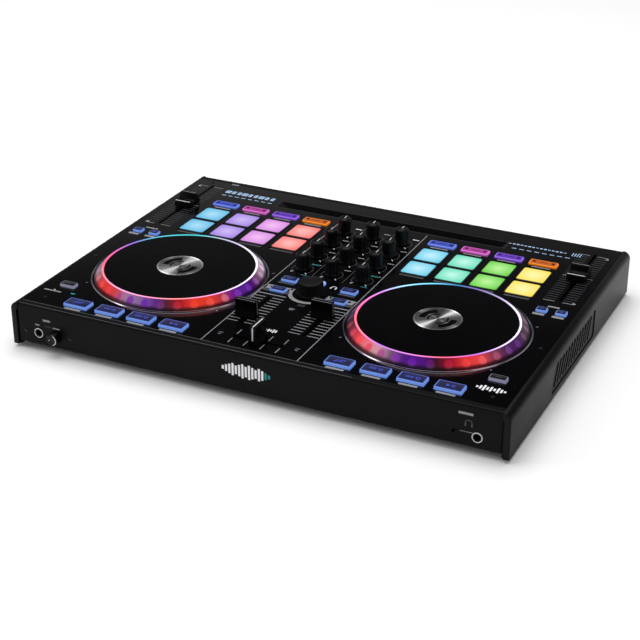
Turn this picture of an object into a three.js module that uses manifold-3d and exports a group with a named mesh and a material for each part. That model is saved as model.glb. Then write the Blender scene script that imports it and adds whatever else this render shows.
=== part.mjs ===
// Two-deck DJ controller with illuminated jog wheels, pads, mixer and faders.
// Millimetres, +X right, +Y to the back, +Z up, origin under the middle of the body on the table.
import * as THREE from 'three';
import { mergeVertices } from 'three/addons/utils/BufferGeometryUtils.js';
import Module from 'manifold-3d';

const wasm = await Module();
wasm.setup();

// ---------- driving dimensions ----------
const WIDTH = 528;              // over both end caps
const DEPTH = 385;              // front to back of the end caps
const BODY_HEIGHT = 46.6;       // end cap, lower edge to panel face
const FOOT_CLEARANCE = 3.4;     // table to the lower edge of the end caps
const CONTROL_HEIGHT = 18;      // mixer knobs above the panel
const GAP = 0.3;                // between pieces that meet
const SLIP = 0.5;               // around pieces that move through the panel

const CAP_THICKNESS = 8;        // end caps, side to side
const CAP_ROUND = 7.5;          // rounded top edge of an end cap
const CAP_REBATE = 2.2;         // dark groove between front wall and end cap
const REBATE_DEPTH = 2.5;       // how far that groove runs in from the cap's end
const CAP_POCKET = 1;           // depth of the ribbed recess on the side
const POCKET_HALF = 70;
const POCKET_SHIFT = 2;         // recess middle behind the middle of the cap
const POCKET_SILL = 10;         // below the recess
const POCKET_LINTEL = 13;       // above the recess
const SHEET = 1.2;              // steel of the bottom tray
const TRAY_RISE = 4;            // tray floor above the end caps' lower edge
const WALL_INSET = 1;           // front and rear walls behind the end caps' ends
const LIP = 8;                  // folded top flange of the tray
const PLATE = 2.5;              // control panel
const FOOT_RADIUS = 10;
const FOOT_INSET = 42;          // foot centre from the ends of the body

const BOARD = 1.6;              // circuit board
const BOARD_RISE = 15;          // board above the tray floor
const BOARD_MARGIN = 8;         // board edge to the tray walls

const MIXER_HALF = 51;          // printed edge of the mixer section
const JOG_RADIUS = 89;          // outer edge of the translucent rim
const JOG_MARGIN = 3.2;         // rim to the mixer section
const JOG_WELL = 2;             // dark gap between the rim and the edge of its well
const JOG_RISE = 9.8;           // jog ring above the panel
const JOG_RING_INSET = 8.5;     // light ring inside the rim's outer edge
const JOG_RING_WIDTH = 1.8;
const JOG_SEAT = 9.6;           // how far the rim reaches in under the platter
const PLATTER = 3;
const PLATTER_STEP = 0.3;       // platter below the light ring and the metal disc
const LABEL_RADIUS = 24;        // spun metal disc in the middle
const SPINDLE_RADIUS = 6;
const HUB_WALL = 6;
const SPINDLE_FLANGE = 16;
const SPINDLE_SHOULDER = 3;     // wider foot of the spindle, flange thickness too

const PAD_WIDTH = 32.2;
const PAD_DEPTH = 32.8;
const PAD_PITCH_X = 38.05;
const PAD_PITCH_Y = 35.8;
const PAD_PROUD = 1.2;          // pads above the panel
const PAD_ROUND = 3;
const MODE_WIDTH = 30.6;
const MODE_DEPTH = 12.3;
const MODE_GAP = 9.7;           // free strip between mode keys and pads
const KEY_PROUD = 2.6;          // transport and shift keys above the panel
const MODE_PROUD = 2;
const SMALL_PROUD = 2.2;        // bend, cue and back keys above the panel
const KEY_ROUND = 1.6;
const KEY_SKIRT = 6;            // key below the panel face
const WEB = 2;                  // carrier sheet that joins keys of one set
const WEB_MARGIN = 1.5;         // carrier sheet beyond its keys
const KEY_WIDTH = 27;
const KEY_DEPTH = 15.4;
const KEY_PITCH = 36.4;
const SHIFT_WIDTH = 17;
const SHIFT_DEPTH = 9.6;
const BEND_WIDTH = 11;
const BEND_DEPTH = 9.6;
const BEND_PITCH = 20;
const CUE_WIDTH = 17;
const CUE_DEPTH = 10.5;
const BACK_WIDTH = 7.5;
const BACK_DEPTH = 6.5;

const KNOB_PITCH_X = 34;
const KNOB_PITCH_Y = 34.8;
const KNOB_SKIRT_RADIUS = 8;
const KNOB_TOP_RADIUS = 7;
const SHAFT_RADIUS = 3;
const ENCODER_RADIUS = 14;
const ENCODER_HEIGHT = 15;
const POT_SIZE = 10;
const POT_BELOW = 9;            // top of a pot body below the panel face
const KNOB_HOVER = 0.6;         // knobs above the panel
const KNOB_SKIRT = 2.4;         // straight foot of a mixer knob
const ENCODER_TAPER = 1;

const FADER_SLOT = 2.6;
const PITCH_SLOT = 126;
const CHANNEL_SLOT = 64;
const CROSS_SLOT = 54;
const PITCH_CAP = [20, 25, 13];       // width, length, height
const CHANNEL_CAP = [23, 11, 19];
const CROSS_CAP = [11, 23, 19.4];
const CHANNEL_REST = [-17, 12];       // left and right channel caps from mid travel
const STEM_THICKNESS = 1.2;
const STEM_LENGTH = 7;                // stem along the slot
const STEM_DEPTH = 14;                // stem below the panel face
const CAP_HOVER = 1;                  // fader caps above the panel
const CAP_TAPER = 1.5;                // each side, foot to crown of a fader cap
const FADER_BODY = 9;                 // width of a fader's housing on the board

const GROOVE_HALF = 137;        // tablet groove, half length
const GROOVE_WIDTH = 16;
const GROOVE_DEPTH = 7;
const GROOVE_CENTRE_HALF = 87;  // deeper middle stretch
const GROOVE_CENTRE_DEPTH = 9.5;
const GROOVE_RAMP = 9;
const GROOVE_WALL = 1.6;

const JACK_BORE = 3.2;          // radius, 6.35 mm plug
const MINI_BORE = 1.8;          // radius, 3.5 mm plug
const JACK_RADIUS = 5.2;
const MINI_RADIUS = 3;
const JACK_LENGTH = 30;
const MINI_LENGTH = 18;
const JACK_HEIGHT = 17.4;       // front controls above the end caps' lower edge
const PHONES_DROP = 1.8;        // 6.35 mm socket below the line of the other front controls
const MIC_KNOB_RADIUS = 6.6;
const JACK_FACE = 0.6;          // socket rings and knob foot before the front wall
const JACK_END = 2;             // closed inner end of a socket
const MIC_SHAFT = 12;           // knob shaft behind the front wall
const PROUD = 9;                // front knob and rear sockets beyond front and rear walls
const SOCKET_PITCH = 14;
const SOCKET_HALF = 6;          // half height of the output block
const SOCKET_BARREL = 4.1;
const SOCKET_BORE = 1.6;
const SOCKET_FACE = 0.4;        // rear fittings beyond the rear wall
const SOCKET_BODY = 6;          // output block inside the rear wall
const USB_HALF = [7, 6.5];      // half width and half height of the USB socket's shell
const USB_MOUTH = [5, 4.5];
const USB_LENGTH = 17;
const USB_REACH = 12;           // depth of the mouth
const ROCKER_HALF = [9, 5];     // opening of the power switch
const ROCKER_SLIP = 0.2;        // rocker smaller than its opening, each side

// spacing of the layout, to the middle of each control
const FRONT_TO_KEYS = 21.7;     // transport keys behind the front wall
const JOG_TO_KEYS = 10.6;       // free strip between rim and transport keys
const FRONT_TO_SHIFT = 55.5;
const FRONT_TO_CROSS = 29;
const CROSS_TO_CHANNEL = 58.5;
const CHANNEL_TO_ENCODER = 55.5;
const ENCODER_TO_BACK_KEY = 27;
const CUE_FROM_ENCODER = [21.2, -4.8];
const CUE_X = 33.5;
const SIDE_TO_SHIFT = 32.5;
const SIDE_TO_PITCH = 31.7;
const SIDE_TO_JACK = 31;
const JACK_TO_KNOB = 20.5;
const JACK_TO_MINI = 22.7;
const BACK_TO_MODE = 69.2;
const BACK_TO_PITCH = 84.5;
const BACK_TO_KNOBS = 84;
const BACK_TO_GROOVE = 39;
const PITCH_TO_BEND = 27;
const PAD_SHIFT = 10.7;         // pad field nearer the mixer than the jog wheel
const REAR_X = 150;             // output block, seen from the front
const USB_X = 60;
const SWITCH_X = 215;

// ---------- places worked out from the driving dimensions ----------
const TOP = FOOT_CLEARANCE + BODY_HEIGHT;
const FLOOR = FOOT_CLEARANCE + TRAY_RISE + SHEET;
const PLATE_BOTTOM = TOP - PLATE;
const INNER = WIDTH / 2 - CAP_THICKNESS - GAP;          // half width of tray and panel
const FRONT = -DEPTH / 2 + WALL_INSET;                  // outer face of the front wall
const BACK = -FRONT;
const PLATE_HALF_DEPTH = BACK - LIP - GAP;
const BOARD_BOTTOM = FLOOR + BOARD_RISE;
const BOARD_TOP = BOARD_BOTTOM + BOARD;
const POT_TOP = TOP - POT_BELOW;

const DECK_X = MIXER_HALF + JOG_MARGIN + JOG_RADIUS;    // middle of a deck
const KEY_Y = FRONT + FRONT_TO_KEYS;                    // transport key row
const JOG_RING_OUTER = JOG_RADIUS - JOG_RING_INSET;
const JOG_Y = KEY_Y + KEY_DEPTH / 2 + JOG_TO_KEYS + JOG_RADIUS;
const SHIFT_Y = FRONT + FRONT_TO_SHIFT;
const SHIFT_X = WIDTH / 2 - SIDE_TO_SHIFT;
const PITCH_X = WIDTH / 2 - SIDE_TO_PITCH;
const MODE_Y = BACK - BACK_TO_MODE;
const PAD_Y = MODE_Y - MODE_DEPTH / 2 - MODE_GAP - PAD_DEPTH / 2;
const PAD_X = DECK_X - PAD_SHIFT;                       // middle of the pad field
const PITCH_Y = BACK - BACK_TO_PITCH;
const BEND_Y = PITCH_Y - PITCH_SLOT / 2 - PITCH_TO_BEND;
const KNOB_Y = BACK - BACK_TO_KNOBS;                    // rear row of mixer knobs
const CROSS_Y = FRONT + FRONT_TO_CROSS;
const CHANNEL_Y = CROSS_Y + CROSS_TO_CHANNEL;
const ENCODER_Y = CHANNEL_Y + CHANNEL_TO_ENCODER;
const CUE_Y = CUE_FROM_ENCODER.map((offset) => ENCODER_Y + offset);
const BACK_KEY_Y = ENCODER_Y + ENCODER_TO_BACK_KEY;
const GROOVE_Y = BACK - BACK_TO_GROOVE;
const FRONT_Z = FOOT_CLEARANCE + JACK_HEIGHT;
const PHONES_Z = FRONT_Z - PHONES_DROP;
const MIC_X = SIDE_TO_JACK - WIDTH / 2;
const MIC_KNOB_X = MIC_X + JACK_TO_KNOB;
const PHONES_X = -MIC_X;
const MINI_X = PHONES_X - JACK_TO_MINI;

// ---------- solid helpers ----------
const model = new THREE.Group();

/** Merge doubled vertices and drop collapsed triangles, so that the surface is one closed shell. */
function closed(geometry) {
  const bare = geometry.clone();
  bare.deleteAttribute('normal');
  bare.deleteAttribute('uv');
  const merged = mergeVertices(bare, 1e-4);
  const index = [...merged.index.array];
  const kept = [];
  for (let i = 0; i < index.length; i += 3) {
    const [a, b, c] = index.slice(i, i + 3);
    if (a !== b && b !== c && c !== a) kept.push(a, b, c);
  }
  merged.setIndex(kept);
  return merged;
}

function solid(geometry) {
  const shell = closed(geometry);
  return new wasm.Manifold(new wasm.Mesh({
    numProp: 3,
    vertProperties: new Float32Array(shell.attributes.position.array),
    triVerts: new Uint32Array(shell.index.array),
  }));
}

function geometryOf(body) {
  const mesh = body.getMesh();
  const geometry = new THREE.BufferGeometry();
  geometry.setAttribute('position', new THREE.BufferAttribute(mesh.vertProperties.slice(), 3));
  geometry.setIndex(new THREE.BufferAttribute(mesh.triVerts.slice(), 1));
  return geometry;
}

const join = (bodies) => bodies.reduce((sum, body) => sum.add(body));
const cut = (body, tools) => body.subtract(join(tools));

/** Box from its limits along X, Y and Z. */
function box(x0, x1, y0, y1, z0, z1) {
  const geometry = new THREE.BoxGeometry(x1 - x0, y1 - y0, z1 - z0);
  return solid(geometry.translate((x0 + x1) / 2, (y0 + y1) / 2, (z0 + z1) / 2));
}

/** Box centred on (x, y), standing from z0 to z1. */
const post = (x, y, width, depth, z0, z1) =>
  box(x - width / 2, x + width / 2, y - depth / 2, y + depth / 2, z0, z1);

/** Upright column with a rounded rectangular outline. */
function keyColumn(x, y, width, depth, z0, z1, round) {
  const [w, d] = [width / 2, depth / 2];
  const outline = new THREE.Shape();
  outline.moveTo(round - w, -d);
  outline.lineTo(w - round, -d);
  outline.absarc(w - round, round - d, round, -Math.PI / 2, 0);
  outline.absarc(w - round, d - round, round, 0, Math.PI / 2);
  outline.absarc(round - w, d - round, round, Math.PI / 2, Math.PI);
  outline.absarc(round - w, round - d, round, Math.PI, Math.PI * 1.5);
  const extent = { depth: z1 - z0, curveSegments: 1, bevelEnabled: false };
  const geometry = new THREE.ExtrudeGeometry(outline, extent);
  return solid(geometry.translate(x, y, z0));
}

/** Turned body about the vertical axis through (x, y), from a [radius, z] profile, lowest point first. */
function turned(x, y, profile, segments = 24) {
  const points = profile.map(([r, z]) => new THREE.Vector2(r, z));
  const geometry = new THREE.LatheGeometry(points, segments).rotateX(Math.PI / 2);
  return solid(geometry.translate(x, y, 0));
}

const drum = (x, y, radius, z0, z1, segments = 24) =>
  turned(x, y, [[0, z0], [radius, z0], [radius, z1], [0, z1]], segments);

/** Turned body about an axis along Y through (x, z), from a [radius, y] profile, front point first. */
function turnedAlongY(x, z, profile, segments = 14) {
  const points = profile.map(([r, y]) => new THREE.Vector2(r, y));
  return solid(new THREE.LatheGeometry(points, segments).translate(x, 0, z));
}

const plastic = (colour, roughness = 0.4) =>
  new THREE.MeshStandardMaterial({ color: colour, roughness, metalness: 0 });
const metal = (colour, roughness = 0.35) =>
  new THREE.MeshStandardMaterial({ color: colour, roughness, metalness: 0.9 });

const BLACK = plastic(0x111113, 0.35);
const RUBBER = plastic(0x161616, 0.85);
const PANEL = plastic(0x0b0b10, 0.12);
const STEEL = metal(0x1a1a1c, 0.45);
const BRIGHT = metal(0xc8c8cc, 0.25);
const BLUE_KEY = plastic(0x4a6fd8, 0.35);
const MODE_KEY = plastic(0xa050d0, 0.35);
const PAD_SILICONE = plastic(0xbfe0ff, 0.55);
const RIM_CLEAR = plastic(0xd03a60, 0.2);
const BOARD_GREEN = plastic(0x1c4a2c, 0.6);

function part(name, body, material) {
  const mesh = new THREE.Mesh(geometryOf(body), material);
  mesh.name = name;
  model.add(mesh);
}

const SIDES = [['left', -1], ['right', 1]];

// ---------- housing ----------
/** Folded steel tray: floor, four walls, and front and rear flanges level with the panel. */
function bottomTray() {
  const low = FLOOR - SHEET;
  const flange = (edge, inward) => {
    const ys = [edge, edge + inward * LIP].sort((a, b) => a - b);
    return box(-INNER, INNER, ys[0], ys[1], TOP - SHEET, TOP);
  };
  const sideTop = PLATE_BOTTOM - GAP;
  const shell = join([
    box(-INNER, INNER, FRONT, BACK, low, FLOOR),
    box(-INNER, INNER, FRONT, FRONT + SHEET, low, TOP),
    box(-INNER, INNER, BACK - SHEET, BACK, low, TOP),
    box(-INNER, SHEET - INNER, FRONT, BACK, low, sideTop),
    box(INNER - SHEET, INNER, FRONT, BACK, low, sideTop),
    flange(FRONT, 1),
    flange(BACK, -1),
  ]);
  const bore = (x, z, radius) =>
    turnedAlongY(x, z, [[0, FRONT - LIP], [radius, FRONT - LIP], [radius, FRONT + LIP], [0, FRONT + LIP]]);
  const rearWindow = (x, halfWidth, halfHeight) =>
    box(x - halfWidth, x + halfWidth, BACK - LIP, BACK + LIP, FRONT_Z - halfHeight, FRONT_Z + halfHeight);
  const openings = [
    bore(MIC_X, FRONT_Z, JACK_RADIUS + GAP),
    bore(PHONES_X, PHONES_Z, JACK_RADIUS + GAP),
    bore(MINI_X, FRONT_Z, MINI_RADIUS + GAP),
    bore(MIC_KNOB_X, FRONT_Z, SHAFT_RADIUS + SLIP),
    rearWindow(REAR_X, SOCKET_PITCH * 2 + GAP, SOCKET_HALF + GAP),
    rearWindow(USB_X, USB_HALF[0] + GAP, USB_HALF[1] + GAP),
    rearWindow(SWITCH_X, ROCKER_HALF[0] + SLIP, ROCKER_HALF[1] + SLIP),
  ];
  part('bottom_tray', cut(shell, openings), STEEL);
}

/** End cap: a plate with a rounded top edge, a rebate beside the front wall and a side recess. */
function endCap(side, sign) {
  const outer = WIDTH / 2;
  const inner = outer - CAP_THICKNESS;
  const profile = new THREE.Shape();
  profile.moveTo(inner, FOOT_CLEARANCE);
  profile.lineTo(outer, FOOT_CLEARANCE);
  profile.absarc(outer - CAP_ROUND, TOP - CAP_ROUND, CAP_ROUND, 0, Math.PI / 2);
  profile.lineTo(inner, TOP);
  const extent = { depth: DEPTH, curveSegments: 6, bevelEnabled: false };
  const geometry = new THREE.ExtrudeGeometry(profile, extent);
  const slab = solid(geometry.rotateX(Math.PI / 2).translate(0, DEPTH / 2, 0));
  const rebate = (y) => 
    box(inner - 1, inner + CAP_REBATE, y - REBATE_DEPTH, y + REBATE_DEPTH, 0, TOP - CAP_ROUND);
  const recess = box(outer - CAP_POCKET, outer + 1, POCKET_SHIFT - POCKET_HALF, POCKET_SHIFT + POCKET_HALF,
    FOOT_CLEARANCE + POCKET_SILL, TOP - POCKET_LINTEL);
  const right = cut(slab, [rebate(-DEPTH / 2), rebate(DEPTH / 2), recess]);
  part(`${side}_end_cap`, sign > 0 ? right : right.mirror([1, 0, 0]), BLACK);
}

function feet() {
  const top = FLOOR - SHEET - GAP;
  for (const [side, sx] of SIDES) {
    for (const [end, sy] of [['front', -1], ['rear', 1]]) {
      const foot = turned(sx * (WIDTH / 2 - FOOT_INSET), sy * (DEPTH / 2 - FOOT_INSET), [
        [0, 0], [FOOT_RADIUS - 1, 0], [FOOT_RADIUS, 1], [FOOT_RADIUS, top], [0, top],
      ], 14);
      part(`${end}_${side}_foot`, foot, RUBBER);
    }
  }
}

// ---------- layouts that the panel and the moving pieces share ----------
const mirrorX = (places) => SIDES.map(([, sign]) => places.map(([x, y]) => [sign * x, y])).flat();
const four = [-1.5, -0.5, 0.5, 1.5];
const padPlaces = (sign) =>
  four.flatMap((i) => [0, -1].map((row) => [sign * PAD_X + i * PAD_PITCH_X, PAD_Y + row * PAD_PITCH_Y]));
const modePlaces = (sign) => four.map((i) => [sign * PAD_X + i * PAD_PITCH_X, MODE_Y]);
const transportPlaces = (sign) => four.map((i) => [sign * DECK_X + i * KEY_PITCH, KEY_Y]);
const bendPlaces = (sign) => [-0.5, 0.5].map((i) => [sign * PITCH_X + i * BEND_PITCH, BEND_Y]);
const cuePlaces = (sign) => CUE_Y.map((y) => [sign * CUE_X, y]);
const knobRows = [0, 1, 2, 3].map((row) => KNOB_Y - row * KNOB_PITCH_Y);
const knobColumns = [['left', -KNOB_PITCH_X], ['middle', 0], ['right', KNOB_PITCH_X]];

// ---------- control panel ----------
function controlPanel() {
  const through = [PLATE_BOTTOM - 1, TOP + 1];
  const window = (width, depth) => ([x, y]) => post(x, y, width + 2 * SLIP, depth + 2 * SLIP, ...through);
  const both = (places) => [...places(-1), ...places(1)];
  const slots = [
    ...mirrorX([[PITCH_X, PITCH_Y]]).map(([x, y]) => post(x, y, FADER_SLOT, PITCH_SLOT, ...through)),
    ...mirrorX([[KNOB_PITCH_X, CHANNEL_Y]]).map(([x, y]) => post(x, y, FADER_SLOT, CHANNEL_SLOT, ...through)),
    post(0, CROSS_Y, CROSS_SLOT, FADER_SLOT, ...through),
  ];
  const shaftHoles = knobColumns.flatMap(([, x]) =>
    knobRows.map((y) => drum(x, y, SHAFT_RADIUS + SLIP, ...through, 8)));
  const grooveHole = [GROOVE_HALF + GROOVE_WALL, GROOVE_WIDTH / 2 + GROOVE_WALL].map((half) => half + GAP);
  const tools = [
    ...mirrorX([[DECK_X, JOG_Y]]).map(([x, y]) => drum(x, y, JOG_RADIUS + JOG_WELL, ...through, 56)),
    ...both(padPlaces).map(window(PAD_WIDTH, PAD_DEPTH)),
    ...both(modePlaces).map(window(MODE_WIDTH, MODE_DEPTH)),
    ...both(transportPlaces).map(window(KEY_WIDTH, KEY_DEPTH)),
    ...both(bendPlaces).map(window(BEND_WIDTH, BEND_DEPTH)),
    ...both(cuePlaces).map(window(CUE_WIDTH, CUE_DEPTH)),
    ...mirrorX([[SHIFT_X, SHIFT_Y]]).map(window(SHIFT_WIDTH, SHIFT_DEPTH)),
    window(BACK_WIDTH, BACK_DEPTH)([0, BACK_KEY_Y]),
    drum(0, ENCODER_Y, SHAFT_RADIUS + SLIP, ...through, 8),
    ...slots,
    ...shaftHoles,
    post(0, GROOVE_Y, 2 * grooveHole[0], 2 * grooveHole[1], ...through),
  ];
  const sheet = box(-INNER, INNER, -PLATE_HALF_DEPTH, PLATE_HALF_DEPTH, PLATE_BOTTOM, TOP);
  part('top_plate', cut(sheet, tools), PANEL);
}

/** Moulded trough that a tablet stands in: ramped ends and a deeper middle. */
function tabletGroove() {
  const half = GROOVE_HALF + GROOVE_WALL;
  const floor = TOP - GROOVE_CENTRE_DEPTH - GROOVE_WALL;
  const shell = post(0, GROOVE_Y, 2 * half, GROOVE_WIDTH + 2 * GROOVE_WALL, floor, TOP);
  const side = new THREE.Shape();
  side.moveTo(-GROOVE_HALF - 1, TOP + 1);
  side.lineTo(GROOVE_RAMP - GROOVE_HALF, TOP - GROOVE_DEPTH);
  side.lineTo(-GROOVE_CENTRE_HALF, TOP - GROOVE_DEPTH);
  side.lineTo(-GROOVE_CENTRE_HALF, TOP - GROOVE_CENTRE_DEPTH);
  side.lineTo(GROOVE_CENTRE_HALF, TOP - GROOVE_CENTRE_DEPTH);
  side.lineTo(GROOVE_CENTRE_HALF, TOP - GROOVE_DEPTH);
  side.lineTo(GROOVE_HALF - GROOVE_RAMP, TOP - GROOVE_DEPTH);
  side.lineTo(GROOVE_HALF + 1, TOP + 1);
  const hollow = new THREE.ExtrudeGeometry(side, { depth: GROOVE_WIDTH, bevelEnabled: false });
  const tool = solid(hollow.rotateX(Math.PI / 2).translate(0, GROOVE_Y + GROOVE_WIDTH / 2, 0));
  part('tablet_groove', shell.subtract(tool), BLACK);
}

// ---------- inside ----------
/** Circuit board with the bodies of pots, faders and key switches soldered on. */
function mainBoard() {
  const margin = SHEET + BOARD_MARGIN;
  const [halfX, halfY] = [INNER - margin, BACK - margin - JACK_LENGTH];
  const seat = BOARD_TOP - 0.2;
  const pots = knobColumns.flatMap(([, x]) =>
    knobRows.map((y) => post(x, y, POT_SIZE, POT_SIZE, seat, POT_TOP - GAP)));
  const faderTop = TOP - STEM_DEPTH - 1;
  const faders = [
    ...mirrorX([[PITCH_X, PITCH_Y]]).map(([x, y]) => post(x, y, FADER_BODY, PITCH_SLOT, seat, faderTop)),
    ...mirrorX([[KNOB_PITCH_X, CHANNEL_Y]]).map(([x, y]) =>
      post(x, y, FADER_BODY, CHANNEL_SLOT, seat, faderTop)),
    post(0, CROSS_Y, CROSS_SLOT, FADER_BODY, seat, faderTop),
  ];
  const switchTop = TOP - KEY_SKIRT - 2;
  const strips = [
    ...mirrorX([[DECK_X, KEY_Y]]).map(([x, y]) => post(x, y, 3.6 * KEY_PITCH, 6, seat, switchTop)),
    post(0, ENCODER_Y, POT_SIZE, POT_SIZE, seat, POT_TOP - GAP),
  ];
  const board = join([
    box(-halfX, halfX, FRONT + SHEET + BOARD_MARGIN, halfY, BOARD_BOTTOM, BOARD_TOP),
    ...pots, ...faders, ...strips,
  ]);
  const corner = WIDTH / 2 - 2 * SIDE_TO_JACK - JACK_TO_KNOB;   // board ends here beside the front sockets
  const jackSpace = [[-INNER, -corner], [corner, INNER]].map(([x0, x1]) =>
    box(x0, x1, FRONT, FRONT + JACK_LENGTH + SOCKET_BODY, 0, TOP));
  const spindleHoles = mirrorX([[DECK_X, JOG_Y]]).map(([x, y]) =>
    
    drum(x, y, SPINDLE_RADIUS + SPINDLE_SHOULDER + 1, BOARD_BOTTOM - 1, BOARD_TOP + 1, 16));
  part('main_board', cut(board, [...spindleHoles, ...jackSpace]), BOARD_GREEN);
}

function spindle(side, sign) {
  const step = BOARD_TOP + 2;
  const tip = TOP + JOG_RISE - 2 * PLATTER;
  const low = FLOOR + GAP;
  const flange = low + SPINDLE_SHOULDER;
  const foot = SPINDLE_RADIUS + SPINDLE_SHOULDER;
  part(`${side}_jog_spindle`, turned(sign * DECK_X, JOG_Y, [
    [0, low], [SPINDLE_FLANGE, low], [SPINDLE_FLANGE, flange], [foot, flange], [foot, step],
    [SPINDLE_RADIUS, step], [SPINDLE_RADIUS, tip], [0, tip],
  ], 14), BRIGHT);
}

// ---------- jog wheels ----------
function jogWheel(side, sign) {
  const ringTop = TOP + JOG_RISE;
  const ringInner = JOG_RING_OUTER - JOG_RING_WIDTH;
  const seatTop = ringTop - PLATTER - GAP - PLATTER_STEP;
  const seatInner = ringInner - JOG_SEAT;
  part(`${side}_jog_rim`, turned(sign * DECK_X, JOG_Y, [
    [seatInner, seatTop - PLATTER], [JOG_RADIUS, PLATE_BOTTOM + 0.5], [JOG_RADIUS, TOP + 1],
    [JOG_RING_OUTER, ringTop], [ringInner, ringTop], [ringInner, seatTop],
    [seatInner, seatTop], [seatInner, seatTop - PLATTER],
  ], 48), RIM_CLEAR);

  const face = ringTop - PLATTER_STEP;
  const platterBottom = face - PLATTER;
  const bore = SPINDLE_RADIUS + GAP;
  const hub = bore + HUB_WALL;
  const hubBottom = BOARD_TOP + 4;
  const rimGap = ringInner - GAP;
  part(`${side}_jog_platter`, turned(sign * DECK_X, JOG_Y, [
    [0, platterBottom - 1], [bore, platterBottom - 1], [bore, hubBottom], [hub, hubBottom],
    [hub, platterBottom], [rimGap, platterBottom], [rimGap, face],
    [LABEL_RADIUS, face], [LABEL_RADIUS, ringTop], [0, ringTop],
  ], 36), BLACK);
}

// ---------- keys and pads ----------
/** A set of keys on one carrier sheet below the panel. */
function keySet(places, width, depth, proud, round) {
  const low = TOP - KEY_SKIRT;
  const xs = places.map(([x]) => x);
  const ys = places.map(([, y]) => y);
  const columns = places.map(([x, y]) =>
    keyColumn(x, y, width, depth, low + WEB / 2, TOP + proud, round));
  const carrier = box(
    Math.min(...xs) - width / 2 - WEB_MARGIN, Math.max(...xs) + width / 2 + WEB_MARGIN,
    Math.min(...ys) - depth / 2 - WEB_MARGIN, Math.max(...ys) + depth / 2 + WEB_MARGIN, low, low + WEB);
  return join([carrier, ...columns]);
}

function deckKeys(side, sign) {
  part(`${side}_pads`, keySet(padPlaces(sign), PAD_WIDTH, PAD_DEPTH, PAD_PROUD, PAD_ROUND), PAD_SILICONE);
  part(`${side}_mode_keys`,
    keySet(modePlaces(sign), MODE_WIDTH, MODE_DEPTH, MODE_PROUD, KEY_ROUND), MODE_KEY);
  part(`${side}_bend_keys`,
    keySet(bendPlaces(sign), BEND_WIDTH, BEND_DEPTH, SMALL_PROUD, KEY_ROUND), BLUE_KEY);
  part(`${side}_cue_keys`,
    keySet(cuePlaces(sign), CUE_WIDTH, CUE_DEPTH, SMALL_PROUD, KEY_ROUND), BLUE_KEY);
  const single = (x, y, width, depth, proud) =>
    keyColumn(x, y, width, depth, TOP - KEY_SKIRT, TOP + proud, KEY_ROUND);
  const names = ['sync', 'set', 'cue', 'play'];
  transportPlaces(sign).forEach(([x, y], i) =>
    part(`${side}_${names[i]}_key`, single(x, y, KEY_WIDTH, KEY_DEPTH, KEY_PROUD), BLUE_KEY));
  part(`${side}_shift_key`, single(sign * SHIFT_X, SHIFT_Y, SHIFT_WIDTH, SHIFT_DEPTH, KEY_PROUD), BLACK);
}

// ---------- knobs ----------
function mixerKnobs() {
  const names = ['gain', 'treble', 'mid', 'bass'];
  const middle = ['master', 'booth', 'sampler', 'phones'];
  const low = TOP + KNOB_HOVER;
  const high = TOP + CONTROL_HEIGHT;
  for (const [column, x] of knobColumns) {
    knobRows.forEach((y, row) => {
      const profile = [
        [0, POT_TOP], [SHAFT_RADIUS, POT_TOP], [SHAFT_RADIUS, low], [KNOB_SKIRT_RADIUS, low],
        [KNOB_SKIRT_RADIUS, low + KNOB_SKIRT], [KNOB_TOP_RADIUS, high], [0, high],
      ];
      const label = column === 'middle' ? `${middle[row]}_level_knob` : `${column}_${names[row]}_knob`;
      part(label, turned(x, y, profile, 12), BLACK);
    });
  }
  const tall = TOP + ENCODER_HEIGHT;
  part('browse_encoder', turned(0, ENCODER_Y, [
    [0, POT_TOP], [SHAFT_RADIUS, POT_TOP], [SHAFT_RADIUS, low], [ENCODER_RADIUS, low],
    [ENCODER_RADIUS - ENCODER_TAPER, tall], [0, tall],
  ], 16), BLACK);
  part('browse_back_key',
    keyColumn(0, BACK_KEY_Y, BACK_WIDTH, BACK_DEPTH, TOP - KEY_SKIRT, TOP + SMALL_PROUD, KEY_ROUND), BLUE_KEY);
}

// ---------- faders ----------
/** Fader cap with its stem; the slot runs along X or Y. */
function faderCap(name, x, y, [width, length, height], alongX) {
  const low = TOP + CAP_HOVER;
  const profile = new THREE.Shape();
  const half = (alongX ? width : length) / 2;
  const crown = half - CAP_TAPER;
  profile.moveTo(-half, low);
  profile.lineTo(half, low);
  profile.lineTo(crown, low + height - CAP_HOVER);
  profile.lineTo(-crown, low + height - CAP_HOVER);
  const span = alongX ? length : width;
  const geometry = new THREE.ExtrudeGeometry(profile, { depth: span, bevelEnabled: false });
  geometry.rotateX(Math.PI / 2);
  geometry.translate(0, span / 2, 0);
  if (!alongX) geometry.rotateZ(Math.PI / 2);
  const block = solid(geometry.translate(x, y, 0));
  const stem = alongX
    ? post(x, y, STEM_LENGTH, STEM_THICKNESS, TOP - STEM_DEPTH, low + 1)
    : post(x, y, STEM_THICKNESS, STEM_LENGTH, TOP - STEM_DEPTH, low + 1);
  part(name, join([block, stem]), BLACK);
}

function faders() {
  for (const [side, sign] of SIDES) {
    faderCap(`${side}_pitch_fader`, sign * PITCH_X, PITCH_Y, PITCH_CAP, false);
    const rest = CHANNEL_REST[sign < 0 ? 0 : 1];
    faderCap(`${side}_channel_fader`, sign * KNOB_PITCH_X, CHANNEL_Y + rest, CHANNEL_CAP, false);
  }
  faderCap('crossfader', 0, CROSS_Y, CROSS_CAP, true);
}

// ---------- front and rear fittings ----------
function jack(name, x, z, bore, radius, length) {
  const face = FRONT - JACK_FACE;
  part(name, turnedAlongY(x, z, [
    [bore, face], [radius, face], [radius, face + length], [0, face + length],
    [0, face + length - JACK_END], [bore, face + length - JACK_END], [bore, face],
  ]), metal(0xb8b8bc, 0.3));
}

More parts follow.
